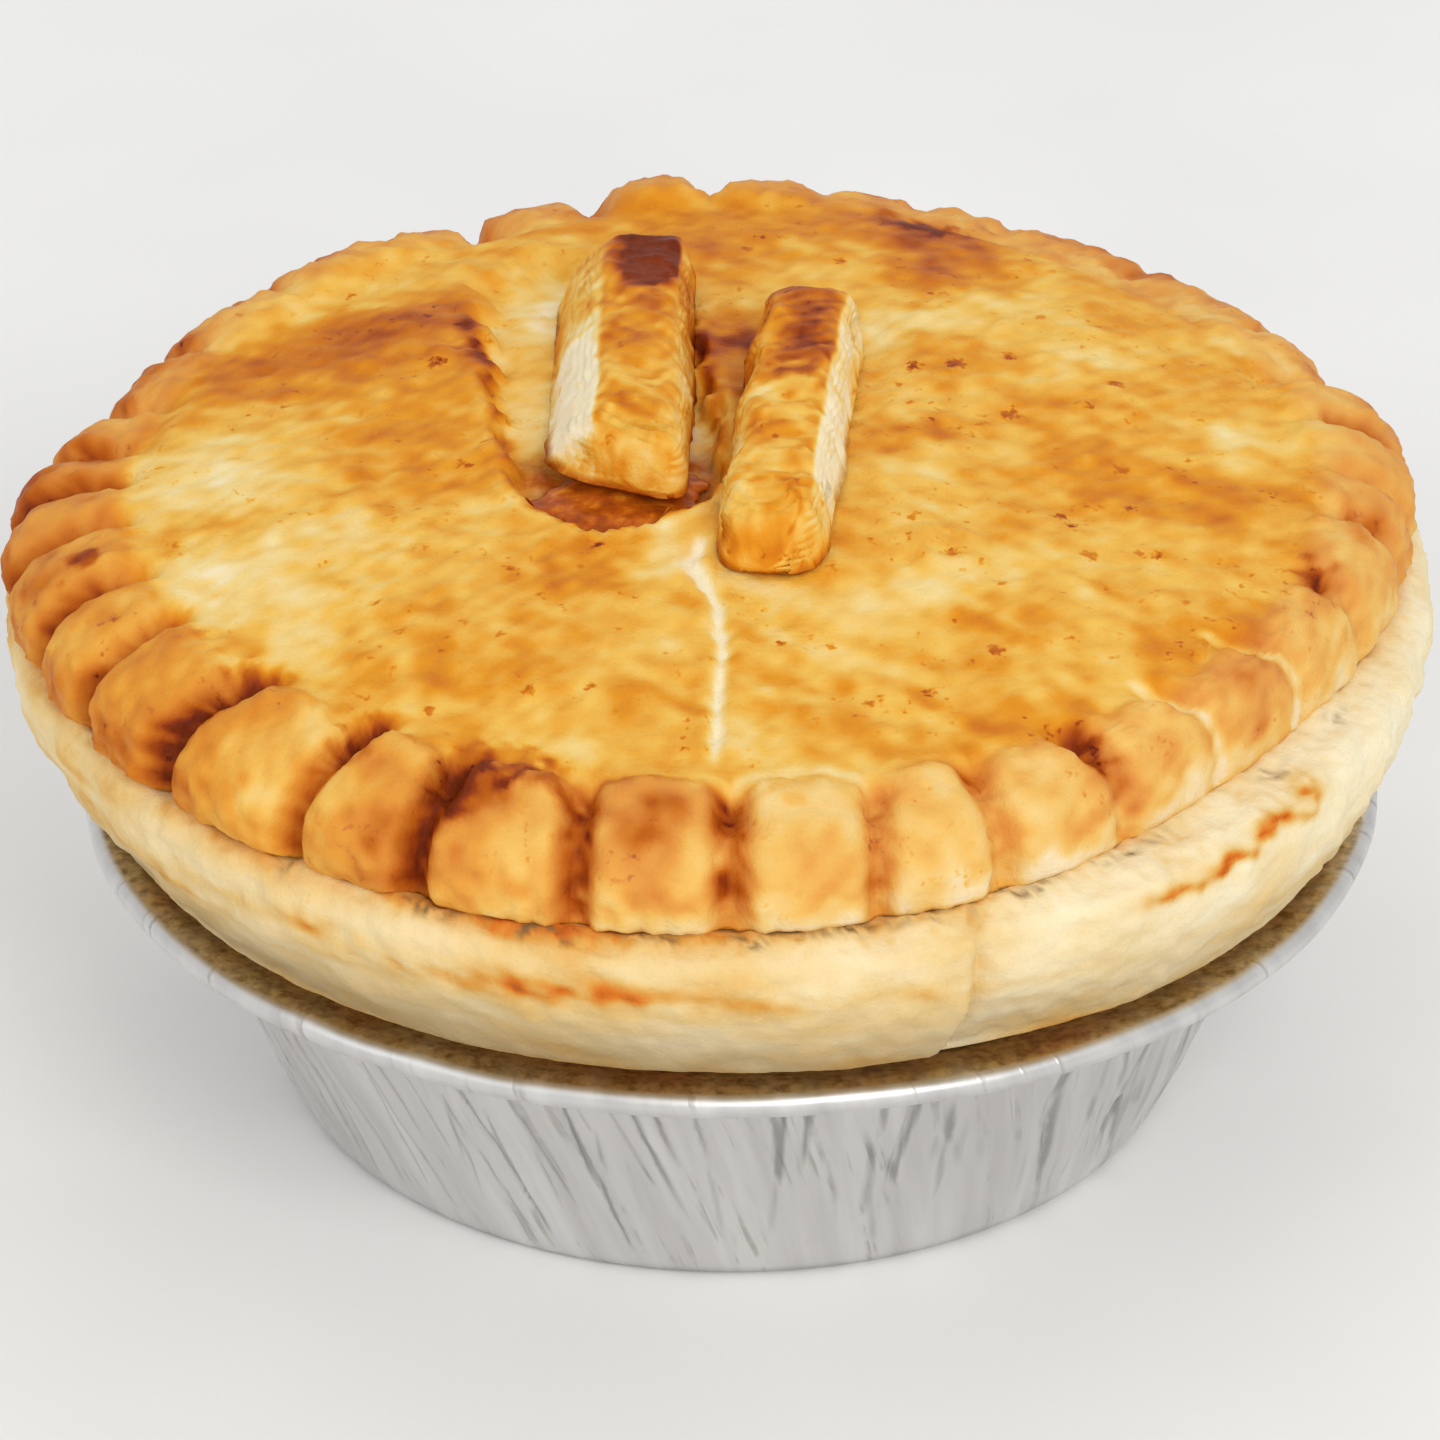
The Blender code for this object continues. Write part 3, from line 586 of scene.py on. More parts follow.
# Golden lid
lid = {
    "crown": 58.6, "domeRadius": 49.0, "domeDrop": 3.2, "radius": 58.4,
    "shoulderFoot": 48.9, "footRadius": 57.9, "foot": 46.6, "thickness": 4.2, "columns": 720,
    "swell": 0.32,
    # crimps: direction, how dark (browner pastry and painted shade; below 0 paler), where the inner end
    # is, lean in degrees per mm, depth
    "grooves": [
        (1, 1.10, 50.5, 0.00, 1.0), (13, 0.90, 51.0, -0.15, 0.9), (23.5, 0.80, 50.0, 0.1, 1.0),
        (36, 0.85, 48.5, 0.35, 0.95), (48, -0.85, 47.5, 0.45, 0.6), (60, -0.85, 47.0, 0.45, 0.55),
        (72, 0.50, 50.0, 0.3, 0.5), (84, 0.25, 50.0, 0.1, 0.45), (91, 0.05, 51.5, 0.0, 0.4),
        (100, 1.00, 51.5, 0.0, 0.7), (110, 0.15, 51.5, 0.0, 1.2), (121.5, 0.05, 53.0, 0.0, 0.5),
        (138, 0.05, 53.0, 0.0, 0.4), (152.5, 0.05, 53.0, 0.0, 0.4), (161, 0.05, 53.0, 0.0, 0.25),
        (170.5, 0.05, 53.0, 0.0, 0.3), (181, 0.15, 51.0, 0.0, 0.8), (192.3, 0.20, 50.5, 0.0, 1.0),
        (203.4, 0.20, 50.0, 0.0, 1.2), (214, 0.10, 52.5, 0.0, 0.3), (227, 0.10, 52.5, 0.0, 0.6),
        (239, 0.10, 52.0, 0.0, 0.6), (250.5, 0.25, 51.5, 0.0, 0.7), (260, 0.45, 50.5, 0.0, 0.8),
        (268, 0.65, 49.5, 0.0, 0.9), (277, 0.60, 49.0, 0.0, 0.9), (288, 0.65, 48.5, 0.0, 1.0),
        (298, 0.70, 48.5, 0.0, 1.0), (310, 1.05, 47.5, -0.4, 1.0), (324.5, 1.05, 47.0, -0.3, 1.0),
        (335.5, 1.05, 50.0, -0.1, 1.1), (348.5, 1.10, 50.5, 0.1, 1.0),
    ],
    "grooveWidth": 1.35, "grooveDepth": 2.3, "lobeBulge": 0.55,
    # how much the rim rises: direction, height
    "rim": [
        (60, 0.0), (92, 0.0), (96, 0.3), (106, 0.2), (111, -1.7), (115, -0.5), (121, 0.0), (128, -1.8),
        (140, -2.2), (150, -1.8), (158, -1.1), (168, -0.1), (175, 0.2), (181, 0.3), (187, 0.2),
        (192, -0.7), (199, -0.9), (203, -2.6), (208, -0.5), (214, 1.1), (221, 1.2), (227, 0.8),
        (233, 0.9), (239, -0.2), (245, -0.7), (249, -1.5), (260, -1.3), (268, -0.5), (276, -0.2),
        (285, 0.0),
    ],
    # lobes that stand up: direction of the crimp before the lobe, height
    "raised": [(170.5, 0.5), (181, 1.2), (192.3, 0.1)],
    # inside "kept" the edge stays, and outside it a share of it is missing at the right front
    "kept": 51.3, "recess": 0.62, "recessAngle": 52.0, "recessSpread": 30.0,
    # where the edge reaches further out, or less far if negative: direction, half-turn, share
    "reach": [(270.0, 22.0, 0.14), (101.0, 9.0, 0.12), (249.0, 9.0, -0.30), (112.0, 4.0, -0.22)],
    # hollow round the left strip: two round ends (x, y, radius), depth
    "hollowBack": (-12.5, 30.0, 10.0), "hollowFront": (-8.2, -4.8, 9.0), "hollowDepth": 1.9,
    "crack": [(-1.2, -15.5), (-2.4, -19.9), (-0.2, -25.0), (0.3, -32.0), (-0.2, -40.0), (-0.4, -49.0)],
    "blisters": 210, "seed": 8,
    # browner (+) and paler (-) places: x, y, radius, amount
    "toasted": [
        (-28.0, 18.0, 7.0, 0.15), (-36.0, 22.5, 7.0, 0.15), (-43.0, 18.0, 6.0, 0.12),
        (-24.0, 28.0, 6.0, 0.12), (-32.0, 27.0, 6.0, 0.14), (-27.0, 9.0, 6.0, 0.15),
        (-25.9, -10.3, 6.0, 0.16), (-21.1, 4.0, 3.5, 0.14), (-22.2, 23.5, 1.8, 0.22),
        (-21.0, 19.0, 1.6, 0.32), (-20.2, 15.5, 1.4, 0.22), (-21.5, 25.3, 4.0, 0.12),
        (-38.8, -5.5, 8.0, -0.08), (-34.0, -18.0, 9.0, -0.20), (-40.0, -20.0, 5.0, -0.08),
        (-31.0, -30.0, 5.0, -0.06), (-43.6, 3.1, 6.0, -0.12), (-44.2, -15.2, 5.0, -0.22),
        (-20.0, -2.0, 7.0, 0.10), (-12.0, -20.0, 4.5, 0.22), (-18.0, -29.0, 8.0, 0.05),
        (18.5, 42.6, 4.2, 0.30), (23.0, 42.0, 2.2, 0.28), (12.0, 43.5, 4.0, 0.12),
        (20.0, 33.0, 5.5, 0.30), (28.0, 38.0, 5.0, 0.12), (-7.0, 46.0, 8.0, 0.18),
        (5.0, 43.0, 8.0, 0.20), (-6.0, -54.0, 3.8, 0.24), (16.5, -52.0, 4.0, 0.10),
        (-17.7, -48.7, 4.2, 0.24), (-24.0, -51.5, 3.5, 0.14), (-12.0, -50.5, 3.0, 0.02),
        (8.0, -26.0, 8.0, -0.10), (18.0, -22.0, 7.0, -0.12), (29.0, 18.5, 6.0, -0.09),
        (24.9, -5.5, 4.0, -0.06), (15.4, 22.8, 4.0, -0.18), (22.5, -29.0, 3.5, 0.12),
        (22.3, -38.0, 5.0, 0.16), (4.8, -37.6, 5.0, 0.18), (15.5, 1.1, 2.8, 0.32),
        (-1.5, -21.0, 3.6, -0.16), (-4.5, -18.8, 3.6, -0.18), (36.0, -2.0, 10.0, 0.15),
        (47.0, 3.4, 5.0, -0.07), (40.9, 14.7, 7.0, -0.03), (-41.5, 20.7, 5.0, 0.12),
        (-25.9, -10.3, 5.0, 0.06), (20.1, 33.8, 4.0, 0.06), (14.4, -39.0, 4.0, -0.12),
        (-13.8, 31.0, 3.5, -0.16), (-12.7, -38.7, 4.0, 0.06), (38.5, -34.5, 4.5, 0.12),
        (45.0, -27.5, 4.0, 0.16), (49.5, -22.0, 3.5, 0.12), (29.5, -22.0, 5.0, -0.12),
        (33.5, -6.0, 4.0, 0.12), (53.5, -5.0, 4.0, 0.26), (49.5, -16.1, 2.2, 0.30),
        (46.0, -31.0, 5.0, 0.08), (30.0, -46.0, 4.0, 0.06), (-55.0, 4.0, 5.0, 0.16),
        # (1.8, 18.5) and (2.5, 9.0) are painted shade in the gap between the strips
        (-54.0, -14.0, 5.0, 0.12), (-48.0, -30.0, 5.0, 0.08), (1.8, 18.5, 4.0, 0.42),
        (2.5, 9.0, 4.0, 0.30),
    ],
    # scorched patches with a ragged edge: x, y, radius, amount
    "scorched": [
        (-19.6, -46.4, 2.2, 0.22), (-16.3, -46.7, 2.6, 0.22), (-13.7, -48.6, 1.8, 0.20),
        (-21.0, -50.0, 1.5, 0.20), (-18.5, -48.8, 2.2, 0.12), (-37.2, -32.6, 1.5, 0.26),
        (-38.8, -34.6, 1.5, 0.20), (-27.8, -41.3, 1.5, 0.26), (-29.4, -43.4, 1.6, 0.20),
        (-52.0, -12.6, 1.0, 0.30), (-44.2, -23.4, 1.0, 0.16), (28.4, -40.6, 0.9, 0.12),
        (30.0, -42.4, 1.1, 0.16), (48.6, -15.9, 1.0, 0.22), (-21.0, 19.0, 1.3, 0.22),
        (19.0, 44.2, 2.6, 0.30), (16.0, 44.8, 1.8, 0.14), (5.0, -51.5, 1.0, 0.18),
    ],
    # small dark specks: x, y, radius
    "specks": [
        (20.0, 14.4, 0.9), (16.5, 13.7, 0.8), (24.6, 16.3, 0.7), (33.5, 12.0, 0.8), (24.4, 6.2, 0.9),
        (33.4, -2.0, 0.7), (33.9, -8.4, 0.6), (28.1, -10.2, 0.6), (28.9, -11.6, 0.5),
        (30.3, -16.2, 0.8), (35.9, -15.4, 0.6), (15.2, 10.4, 0.5), (22.1, -31.3, 0.7),
        (16.8, -37.1, 0.6), (22.8, -22.0, 0.5), (-27.9, -24.4, 0.6), (-10.3, -37.4, 0.5),
        (-23.0, -39.3, 0.6), (12.0, -38.7, 0.5), (-17.6, -30.3, 0.45), (4.9, -30.9, 0.5),
        (19.0, -17.8, 0.7), (9.0, -31.0, 0.5), (38.8, -27.8, 0.7), (10.5, 35.0, 0.6), (27.5, 24.0, 0.6),
        (2.5, 38.0, 0.6), (-33.5, -36.4, 0.6), (-24.2, 15.7, 0.8), (-9.8, -16.2, 0.5),
    ],
}


def domeHeight(r):
    # crown - drop * (r / domeRadius)^2
    return lid["crown"] - lid["domeDrop"] * (r / lid["domeRadius"]) ** 2


def hollowInside(x, y):
    # how deep inside the tapered slot each point is, and its share along the slot
    start, end = np.array(lid["hollowBack"]), np.array(lid["hollowFront"])
    way = (end - start)[:2]
    along = np.clip(((x - start[0]) * way[0] + (y - start[1]) * way[1]) / (way @ way), 0.0, 1.0)
    gap = np.hypot(x - start[0] - along * way[0], y - start[1] - along * way[1])
    return start[2] + (end[2] - start[2]) * along - gap, along


def hollowShare(x, y):
    # 0 outside the slot, 1 on its floor; the edge is torn and sharp at the front, soft at the back
    inside, along = hollowInside(x, y)
    flat = np.stack([x, y, np.zeros(np.shape(x))], axis=-1)
    ragged = 0.35 * ripple(flat, 4.0, 31) + 0.18 * ripple(flat, 1.4, 32)
    return smooth(0.0, 1.3 + 3.6 * (1.0 - along) ** 3, inside + 0.3 + ragged)


def lidSurface(x, y):
    # dome + slow swell - hollow, before the crust leans
    waves = np.sin(x / 9.0 + 0.8) * np.sin(y / 11.0 + 2.1) + 0.6 * np.sin((x + y) / 7.5 + 1.7)
    r = np.hypot(x, y)
    height = domeHeight(r) + lid["swell"] * waves * (1.0 - smooth(36.0, 48.0, r))
    return height - lid["hollowDepth"] * hollowShare(x, y)


def blisterBumps(x, y):
    # round bumps h * (1 - (d / r)^2)^2 at seeded places, more of them on the right
    rng = np.random.default_rng(lid["seed"])
    total = np.zeros(np.shape(x))
    for _ in range(lid["blisters"]):
        px, py = rng.uniform(-46, 50), rng.uniform(-46, 46)
        radius, height = rng.uniform(0.7, 2.2), rng.uniform(0.06, 0.32)
        if px < -5 and rng.uniform() < 0.5:
            height *= 0.4
        d = np.clip(np.hypot(x - px, (y - py) * 0.8) / radius, 0.0, 1.0)
        total = total + height * (1.0 - d * d) ** 2
    return total


def goldenLid():
    # A profile turned round Z. Between two crimps a and b degrees away each lobe is a pillow,
    # (4 a b / (a + b)^2)^0.6, pushed out along the shoulder's slope, and the crimps are pressed in.
    l = lid
    shoulder = quarter(
        (l["domeRadius"], l["shoulderFoot"]),
        (l["radius"] - l["domeRadius"], domeHeight(l["domeRadius"]) - l["shoulderFoot"]), 87.5, 0, 37)
    radii = np.concatenate([[0.0], np.linspace(1.2, l["domeRadius"], 79)])
    top = np.stack([radii, domeHeight(radii)], axis=1)
    outside = np.concatenate([top, shoulder, [(58.3, 48.2), (58.2, 47.5)]])
    foot = np.array([(l["footRadius"], 46.9), (57.5, l["foot"]), (55.0, l["foot"]), (52.3, l["foot"])])
    under = np.array([(51.7, 48.8), (49.4, 51.0), (44.0, 51.8), (24.0, 53.6), (0.0, 54.4)])
    profile = np.concatenate([outside, foot, under])
    skin = np.concatenate([np.ones(len(outside)), [0.7, 0.35, 0.1, 0.0], np.zeros(len(under))])[:, None]
    radius, turn, height = turnedGrid(profile, l["columns"])
    t = np.radians(turn)
    x, y = radius * np.sin(t), -radius * np.cos(t)
    onTop = (np.arange(len(profile)) < len(top))[:, None]
    height = np.where(onTop, lidSurface(x, y), height)

    # crimps, pressed in along the shoulder's own slope
    grooves = np.array([g[0] for g in l["grooves"]], float)
    rng = np.random.default_rng(l["seed"] + 1)
    pressed, dark = np.zeros(radius.shape), np.zeros(radius.shape)
    for middle, darkness, start, lean, depth in l["grooves"]:
        width = l["grooveWidth"] * rng.uniform(0.85, 1.2)
        across = np.radians(turnFrom(turn, middle + lean * (radius - 57.0))) * radius
        reach = smooth(start - 1.5, start + 2.0, radius)
        pressed = np.maximum(pressed, depth * np.exp(-np.abs(across / width) ** 2.8) * reach)
        slit = width * (1.05 if darkness > 0 else 0.42)
        begun = smooth(start - 0.5, start + 1.0, radius)
        dark = dark + darkness * np.exp(-np.abs(across / slit) ** 3) * begun
    ahead = np.min([(g - turn) % 360.0 for g in grooves], axis=0)
    behind = np.min([(turn - g) % 360.0 for g in grooves], axis=0)
    pillow = (4.0 * ahead * behind / np.maximum(ahead + behind, 1e-6) ** 2) ** 0.6
    lobe = np.searchsorted(grooves, turn, side="right") % len(grooves)
    bulge = l["lobeBulge"] * rng.uniform(0.6, 1.4, len(grooves))[lobe]
    lift = rng.uniform(-0.25, 0.35, len(grooves))[lobe]
    onEdge = skin * smooth(47.0, 50.0, radius)
    tilt = math.radians(82.0) * smooth(50.0, 57.5, radius)
    # each lobe's crest is an arch on the lid, with a faint valley inside it
    arch = 51.6 - 1.5 * pillow
    strength = rng.uniform(0.3, 1.1, len(grooves))[lobe]
    strength = strength * (0.35 + 0.65 * bell(turnFrom(turn, -5.0), 55.0))
    valley = -0.38 * bell(radius - arch + 0.9, 0.8) + 0.40 * bell(radius - arch - 1.2, 1.2)
    boxy = 0.42 * bell(radius - 56.3, 1.8)
    # the back lobes are flat and run into the top
    away = np.abs(turnFrom(turn, 0.0))
    marked = 1.0 - smooth(100.0, 125.0, away)
    flat = 1.0 - 0.6 * bell(turnFrom(turn, 58.0), 22.0)
    push = bulge * pillow * (0.25 + 0.75 * marked) * flat - l["grooveDepth"] * pressed
    push = push + (valley * strength + boxy * flat) * pillow * marked
    rimTurns, rimRises = np.array(l["rim"]).T
    lift = lift * marked
    for start, more in l["raised"]:
        lift = np.where(grooves[lobe - 1] == start, more, lift)
    rise = np.interp(turn, rimTurns, rimRises, period=360.0) + lift * pillow
    place = np.stack([x, y, height], axis=-1)
    crumb = 0.12 * ripple(place, 3.2, 41) + 0.07 * ripple(place, 1.3, 42)
    ragged = 0.22 * ripple(place * [1, 1, 0.3], 1.8, 43) * smooth(50.0, 47.2, height) * skin
    reach = radius + onEdge * ((push + crumb) * np.sin(tilt)) + ragged * (radius > 52)
    height = height + onEdge * (push + rise + crumb) * np.cos(tilt)
    kept = l["kept"]
    reach = np.where(reach > kept, kept + (reach - kept) * (1.0 - edgeRecess(turn)), reach)

    # relief of the top: blisters, crumb, crack, the torn flap's lip
    inner = onTop * (1.0 - smooth(44.0, 48.5, radius))
    gap, share = nearLine(x, y, l["crack"])
    gap = gap + 0.10 * ripple(place, 2.0, 44)
    crack = bell(gap, 0.55) * smooth(0.0, 0.06, share)
    inside, along = hollowInside(x, y)
    lip = bell(inside + 0.9, 0.8) * smooth(0.25, 0.7, along)
    relief = 0.10 * ripple(place, 7.0, 45) + 0.06 * ripple(place, 2.4, 46) + 0.025 * ripple(place, 1.1, 47)
    ring = np.hypot(x - 18.8, y + 16.9)
    relief = relief + blisterBumps(x, y) + 0.30 * bell(ring - 2.6, 0.8)
    relief = relief + 0.35 * bell(np.hypot(x - 15.9, y - 1.1), 2.2)
    relief = relief - 0.50 * crack + 0.22 * bell(gap - 1.3, 0.8) + 0.30 * lip
    height = height + inner * relief
    points = settle(reach * np.sin(t), -reach * np.cos(t), height)

    # how brown each point is, with painted shade and highlight in places
    baked = 0.42 + 0.05 * ripple(place, 14.0, 51) + 0.045 * ripple(place, 5.0, 52)
    baked = baked + 0.03 * ripple(place, 2.0, 53)
    wander = 0.9 * ripple(place, 3.5, 48)
    baked = baked + spots(x + wander, y + 0.8 * ripple(place, 3.5, 49), l["toasted"])
    for px, py, size, amount in l["scorched"]:
        off = np.hypot(x - px, y - py) + 0.55 * ripple(place, 2.0, 50)
        baked = baked + amount * smooth(size + 0.7, size - 0.7, off) * skin
    speck = np.zeros(x.shape)
    for px, py, size in l["specks"]:
        speck = np.maximum(speck, 1.0 - np.hypot(x - px, y - py) / (2.0 * size))
    floor = hollowShare(x, y) * onTop
    baked = baked - 0.18 * floor
    edge = bell(inside - 0.3, 0.9) * smooth(0.05, 0.4, along) * onTop
    baked = baked + 0.38 * edge * (0.6 + 0.4 * np.clip(ripple(place, 3.0, 54), -1, 1)) - 0.10 * lip
    baked = baked - 0.42 * crack * inner + 0.08 * bell(gap - 1.6, 0.9) * inner * (x < 0)
    onLobes = smooth(48.5, 52.0, radius) * skin
    leftness = bell(turnFrom(turn, 270.0), 48.0)
    tanned = rng.uniform(0.5, 1.3, len(grooves))[lobe]
    baked = baked + 0.10 * onLobes * leftness * (0.6 + 0.5 * pillow * tanned)
    crest = bell(radius - arch, 0.55) * (0.6 + 0.4 * ripple(place, 2.0, 57))
    baked = baked + 0.16 * crest * strength * skin * marked
    # painted highlight: the faint valley inside each crest made paler, most at the front
    valleyTone = bell(radius - arch + 1.3, 0.7) * strength * skin
    baked = baked - 0.14 * valleyTone * bell(turnFrom(turn, 10.0), 30.0)
    # crimps darker: partly browner pastry, partly painted shade in the crimp
    baked = baked + 0.36 * dark * skin * (1.0 + 0.15 * ripple(place, 1.6, 55))
    leftFront = bell(turnFrom(turn, 308.0), 42.0)
    baked = baked + 0.14 * leftFront * smooth(53.0, 50.0, height + 0.7 * ripple(place, 3.0, 59)) * onLobes
    baked = baked - 0.08 * onLobes * bell(turnFrom(turn, 14.0), 20.0)
    # the foot of the edge stays pale, most of all at the right front
    rightFront = bell(turnFrom(turn, 35.0), 45.0)
    fade = smooth(49.6 + 1.6 * rightFront, 46.8 + 1.0 * rightFront, height + 0.5 * ripple(place, 3.0, 58))
    baked = baked - (0.10 * (1 - leftFront) + 0.26 * rightFront) * fade * onLobes
    baked = baked + 0.20 * smooth(70.0, 130.0, away) * smooth(52.0, 56.5, radius) * skin
    baked = np.clip(baked, 0.03, 0.97)
    pool = floor * smooth(3.0, -3.0, y) * smooth(0.2, 1.4, inside)
    gravy = np.clip(pool * (0.85 + 0.2 * ripple(place, 2.5, 56)), 0, 1)
    makePiece("goldenLid", points, goldenPastry, "pastry_lid", "golden_pastry",
              baked=baked, gravy=gravy, speck=speck * onTop,
              dull=0.24 * onLobes * (1 - 0.6 * leftFront) * (1 - smooth(0.55, 0.80, baked)))


# Strips: front and back end, top width, spread of the left and right side, height, lift and
# slant of the front end, share of the length that is rounded, tone of each side at its front and
# its back, share of the front end that keeps the top's tone, and toasted places (share along,
# share across from -1 to 1, radius, amount)
strips = {
    "leftStrip": {
        "leftSide": (-0.60, -0.08), "rightSide": (-0.10, 0.08), "tail": 0.06,
        "node": "pastry_strip_left", "front": (-7.0, -9.0), "back": (-6.5, 31.0), "width": 8.1,
        "spread": (3.4, 0.4), "height": 5.2, "lift": 1.6, "slant": -0.5, "round": 0.075, "seed": 61,
        "toasted": [
            (0.97, 0.15, 0.16, 0.62), (0.84, 0.3, 0.12, 0.56), (0.74, 0.5, 0.08, 0.42),
            (0.68, 0.0, 0.14, 0.14), (0.45, -0.1, 0.2, 0.10), (0.12, 0.0, 0.05, 0.16),
        ],
    },
    "rightStrip": {
        "leftSide": (-0.12, 0.22), "rightSide": (-0.48, -0.34), "tail": 0.22,
        "node": "pastry_strip_right", "front": (3.8, -21.8), "back": (8.0, 19.6), "width": 7.6,
        "spread": (0.6, 0.9), "height": 5.7, "lift": 0.0, "slant": 0.0, "round": 0.10, "seed": 71,
        "toasted": [
            (0.95, 0.0, 0.10, 0.24), (0.83, 0.1, 0.10, 0.26), (0.70, 0.15, 0.10, 0.36),
            (0.58, 0.25, 0.06, 0.32), (0.02, 0.1, 0.03, 0.14), (0.09, 0.3, 0.02, 0.20),
            (0.05, -0.1, 0.07, 0.02), (0.30, -0.2, 0.03, 0.12), (0.34, 0.0, 0.02, 0.14),
            (0.45, -0.2, 0.10, -0.12), (0.20, 0.0, 0.06, -0.10),
        ],
    },
}


def pastryStrip(name, s):
    # u runs from the front end to the back end, v round a rounded-box section whose ends close to a point
    front, back = np.array(s["front"]), np.array(s["back"])
    way = back - front
    length = np.linalg.norm(way)
    ahead = way / length
    across = np.array([ahead[1], -ahead[0]])
    rounding = s["round"]
    steps = rounding * (1 - np.cos(np.linspace(0.12, np.pi / 2, 16)))
    steps = np.concatenate([[0.0], steps, np.linspace(rounding + 0.012, 1 - rounding - 0.012, 150)])
    steps = np.concatenate([steps, 1 - steps[:17][::-1]])
    full = np.sqrt(np.clip(1 - np.clip(1 - np.minimum(steps, 1 - steps) / rounding, 0, 1) ** 2.4, 0, 1))
    columns = 132
    v = np.linspace(0, 2 * np.pi, columns, endpoint=False)
    upper = np.sin(v) >= 0
    side = np.sign(np.cos(v)) * np.abs(np.cos(v)) ** 0.42
    up = np.where(upper, np.abs(np.sin(v)) ** 0.42, 0.0)
    flatSide = np.where(upper, side, np.cos(v))
    half, height = s["width"] / 2, s["height"]
    spread = np.where(flatSide < 0, s["spread"][0], s["spread"][1])
    offset = flatSide * (half + spread * (1 - smooth(0.0, 0.9, up)))
    shares = steps[:, None]
    fullness = full[:, None]
    frontShare = 1.0 - smooth(0.10, 0.45, shares)
    shift = offset[None, :] * (0.35 + 0.65 * fullness) * (fullness > 0)
    middle = front + steps[:, None] * way
    x = middle[:, :1] + shift * across[0] + shift * s["slant"] * frontShare * ahead[0]
    y = middle[:, 1:] + shift * across[1] + shift * s["slant"] * frontShare * ahead[1]
    rise = up[None, :] * height * (0.15 + 0.85 * fullness)
    raised = smooth(0.0, 0.6 * height, rise)
    foot = lidSurface(x, y) + 0.35 + s["lift"] * frontShare * (1 - raised)
    bed = domeHeight(np.hypot(middle[:, :1], middle[:, 1:])) + 0 * x
    base = foot + (bed - foot) * raised
    place = np.stack([x, y, base + rise], axis=-1)
    rng = np.random.default_rng(s["seed"])
    flank = (smooth(0.86, 0.97, np.abs(side)) * upper * (1 - smooth(0.93, 1.0, up)))[None, :]
    wander = 0.35 * ripple(place * [0.4, 0.4, 1.0], 6.0, s["seed"])
    layers = np.sin(2 * np.pi * (rise / 0.62 + wander)) * (0.7 + 0.4 * ripple(place, 3.0, s["seed"] + 1))
    ends = 1 - np.clip(fullness, 0, 1)
    out = 0.15 * layers * (flank + 0.6 * ends) + 0.07 * ripple(place, 2.2, s["seed"] + 2)
    out = out + 0.16 * ripple(place, 9.0, s["seed"] + 3)
    normal = np.sign(offset)[None, :] * smooth(0.5, 1.0, np.abs(side))[None, :]
    live = (fullness > 0) * upper[None, :]
    x = x + out * normal * across[0] * live
    y = y + out * normal * across[1] * live
    lump = 0.15 * ripple(place, 4.0, s["seed"] + 4) + 0.07 * ripple(place, 1.4, s["seed"] + 5)
    ticks = 0.10 * np.sin(2 * np.pi * shares * length / 1.9)
    ticks = ticks * bell(shares - 0.30, 0.09) * bell(side[None, :] + 0.1, 0.4)
    folds = shares * length / 1.5 + 0.5 * ripple(place, 5.0, s["seed"] + 6)
    wrinkle = 0.22 * np.sin(2 * np.pi * folds) * bell(shares - 0.05, 0.09)
    z = base + rise + live * smooth(0.7, 1.0, up)[None, :] * (lump + ticks + wrinkle)
    z = z + crustTilt(x, y)
    points = np.stack([x + crust["shift"], y, z], axis=-1)
    baked = 0.44 + 0.06 * ripple(place, 5.0, s["seed"] + 7) + 0.05 * ripple(place, 1.6, s["seed"] + 8)
    onTop = smooth(0.86, 0.95, up)[None, :] * np.ones_like(shares)
    later = smooth(0.30, 0.75, shares + 0.06 * ripple(place, 4.0, s["seed"] + 10))
    leftSide = s["leftSide"][0] + (s["leftSide"][1] - s["leftSide"][0]) * later
    rightSide = s["rightSide"][0] + (s["rightSide"][1] - s["rightSide"][0]) * later
    tail = smooth(0.2 * s["tail"], s["tail"], shares)
    baked = baked + np.where(flatSide < 0, leftSide, rightSide) * (1 - onTop) * (0.1 + 0.9 * tail)
    for px, py, radius, amount in s["toasted"]:
        jag = px + 0.03 * ripple(place, 2.5, s["seed"] + 9)
        near = bell(shares - jag, radius) * bell(flatSide[None, :] - py, 0.8)
        baked = baked + amount * near * (0.15 + 0.85 * onTop)
    baked = baked + 0.10 * layers * flank
    # painted shade along the strip's foot and underside, where it sits on the lid
    baked = baked + 0.30 * (1 - smooth(0.0, 0.8, rise))
    gravy = (1 - smooth(0.2, 1.0, rise)) * (1 - smooth(0.05, 0.3, shares)) * (name == "leftStrip")
    makePiece(name, points, goldenPastry, s["node"], "golden_pastry", upward=False,
              baked=np.clip(baked, 0.03, 0.97), gravy=np.clip(gravy, 0, 1))


# Gravy baked on the hollow's floor
pool = {"middle": (-8.0, -7.8), "half": (7.2, 5.0), "thickness": 0.9, "columns": 200}


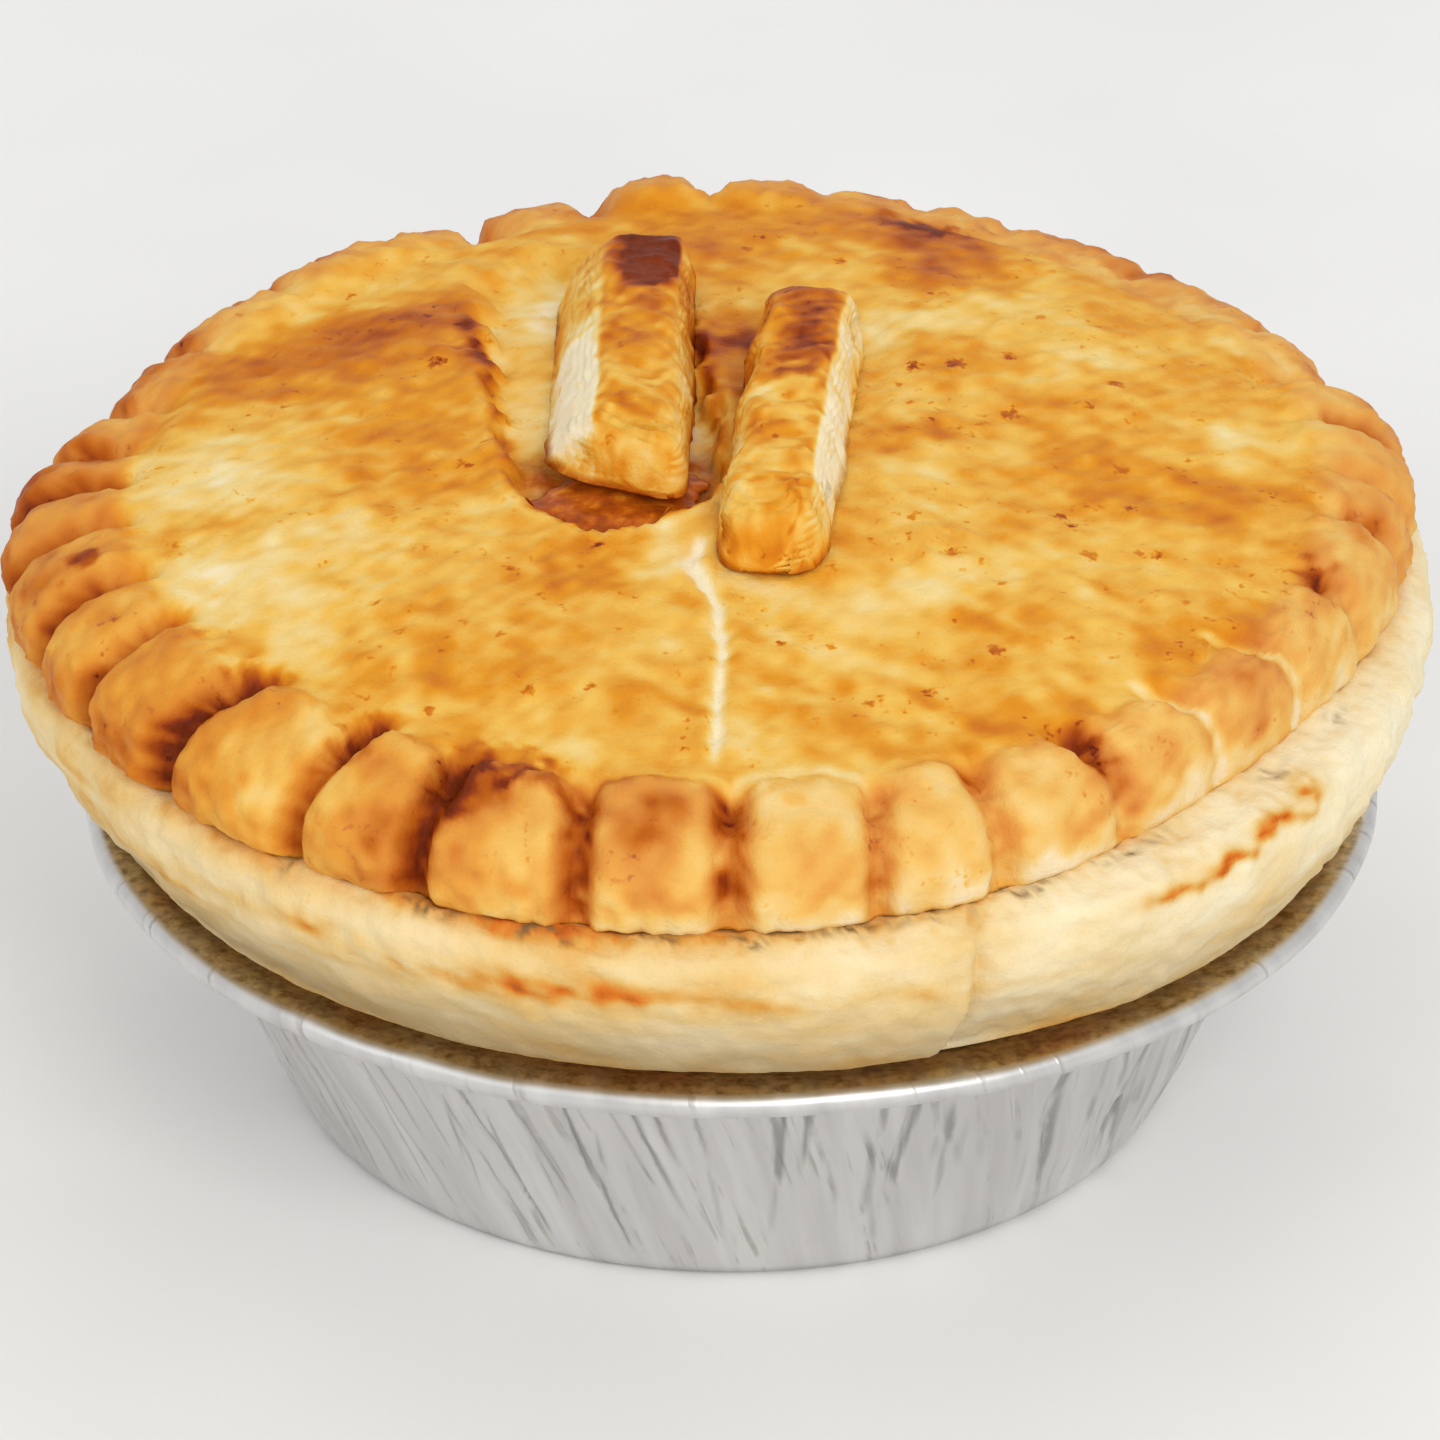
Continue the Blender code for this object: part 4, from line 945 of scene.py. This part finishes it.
def gravyPool():
    # A disc on the hollow's floor with a wandering rim, thickness * (1 - 0.7 * reach^4)
    p = pool
    over = np.linspace(0, 1, 26)
    profile = np.concatenate([
        np.stack([over, 1 - 0.7 * over ** 4], axis=1),
        [(0.985, 0.12), (0.93, 0.0), (0.6, 0.0), (0.3, 0.0), (0.0, 0.0)],
    ])
    reach, turn, thick = turnedGrid(profile, p["columns"])
    t = np.radians(turn)
    reach = reach * (1.0 + 0.10 * np.sin(3 * t + 0.5) + 0.06 * np.sin(7 * t) + 0.03 * np.sin(17 * t))
    x = p["middle"][0] + p["half"][0] * reach * np.sin(t)
    y = p["middle"][1] - p["half"][1] * reach * np.cos(t)
    thick = thick * p["thickness"]
    flat = np.stack([x, y, np.zeros(x.shape)], axis=-1)
    thick = thick * (1 + 0.12 * ripple(flat, 4.0, 81))
    z = lidSurface(x, y) + 0.2 + thick + crustTilt(x, y)
    points = np.stack([x + crust["shift"], y, z], axis=-1)
    makePiece("gravyPool", points, gravyFinish(), "gravy_pool", "gravy")


foilDish()
pastryCase()
goldenLid()
for stripName, stripSizes in strips.items():
    pastryStrip(stripName, stripSizes)
gravyPool()


# Floor, light and camera
studio = {
    "elevation": 28.80, "distance": 0.70, "focalPixels": 8242.0, "framePixels": 1440,
    "aim": (-0.00095, 0.0, 0.03178),
    "world": 0.72, "key": 3.7, "fill": 0.8, "back": 0.6,
}


def floorFinish():
    made = Finish("studioFloor", Roughness=0.85)
    paper = made.noise(60.0, detail=2.0)
    made.colour(made.ramp(paper, [(0.3, tint(240, 240, 239)), (0.7, tint(246, 246, 245))]))
    return made.material


def studioFloor():
    # a square sheet that meets the dish's base
    half = 1.5
    mesh = bpy.data.meshes.new("studioFloor")
    corners = [(-half, -half, 0), (half, -half, 0), (half, half, 0), (-half, half, 0)]
    mesh.from_pydata(corners, [], [(0, 1, 2, 3)])
    mesh.materials.append(floorFinish())
    floor = bpy.data.objects.new("studioFloor", mesh)
    bpy.context.scene.collection.objects.link(floor)


def softLight(name, place, size, power, colour=(1.0, 1.0, 1.0)):
    # a round lamp that faces the pie
    lamp = bpy.data.lights.new(name, "AREA")
    lamp.shape = "DISK"
    lamp.size = size
    lamp.energy = power
    lamp.color = colour
    light = bpy.data.objects.new(name, lamp)
    light.location = place
    aim = np.array([0.0, 0.0, 0.03]) - np.array(place)
    flat = math.hypot(aim[0], aim[1])
    light.rotation_euler = (math.atan2(flat, -aim[2]), 0.0, math.atan2(aim[1], aim[0]) - math.pi / 2)
    bpy.context.scene.collection.objects.link(light)


def camera():
    # lens = sensor width * focal length in pixels / frame width in pixels
    s = studio
    lens = bpy.data.cameras.new("camera")
    lens.sensor_width = 36.0
    lens.lens = 36.0 * s["focalPixels"] / s["framePixels"]
    lens.clip_start = 0.01
    view = bpy.data.objects.new("camera", lens)
    e = math.radians(s["elevation"])
    view.location = (
        s["aim"][0], s["aim"][1] - s["distance"] * math.cos(e), s["aim"][2] + s["distance"] * math.sin(e),
    )
    view.rotation_euler = (math.pi / 2 - e, 0.0, 0.0)
    bpy.context.scene.collection.objects.link(view)
    bpy.context.scene.camera = view


studioFloor()
softLight("keyLight", (0.30, -0.80, 0.62), 0.5, studio["key"], (1.0, 0.985, 0.96))
softLight("fillLight", (-0.70, -0.45, 0.45), 0.6, studio["fill"])
softLight("backLight", (0.1, 0.7, 0.6), 0.6, studio["back"])
world = bpy.data.worlds.new("studio")
world.use_nodes = True
world.node_tree.nodes["Background"].inputs["Color"].default_value = (1.0, 1.0, 1.0, 1.0)
world.node_tree.nodes["Background"].inputs["Strength"].default_value = studio["world"]
bpy.context.scene.world = world
bpy.context.scene.view_settings.view_transform = "Standard"
camera()
print("studio ready")
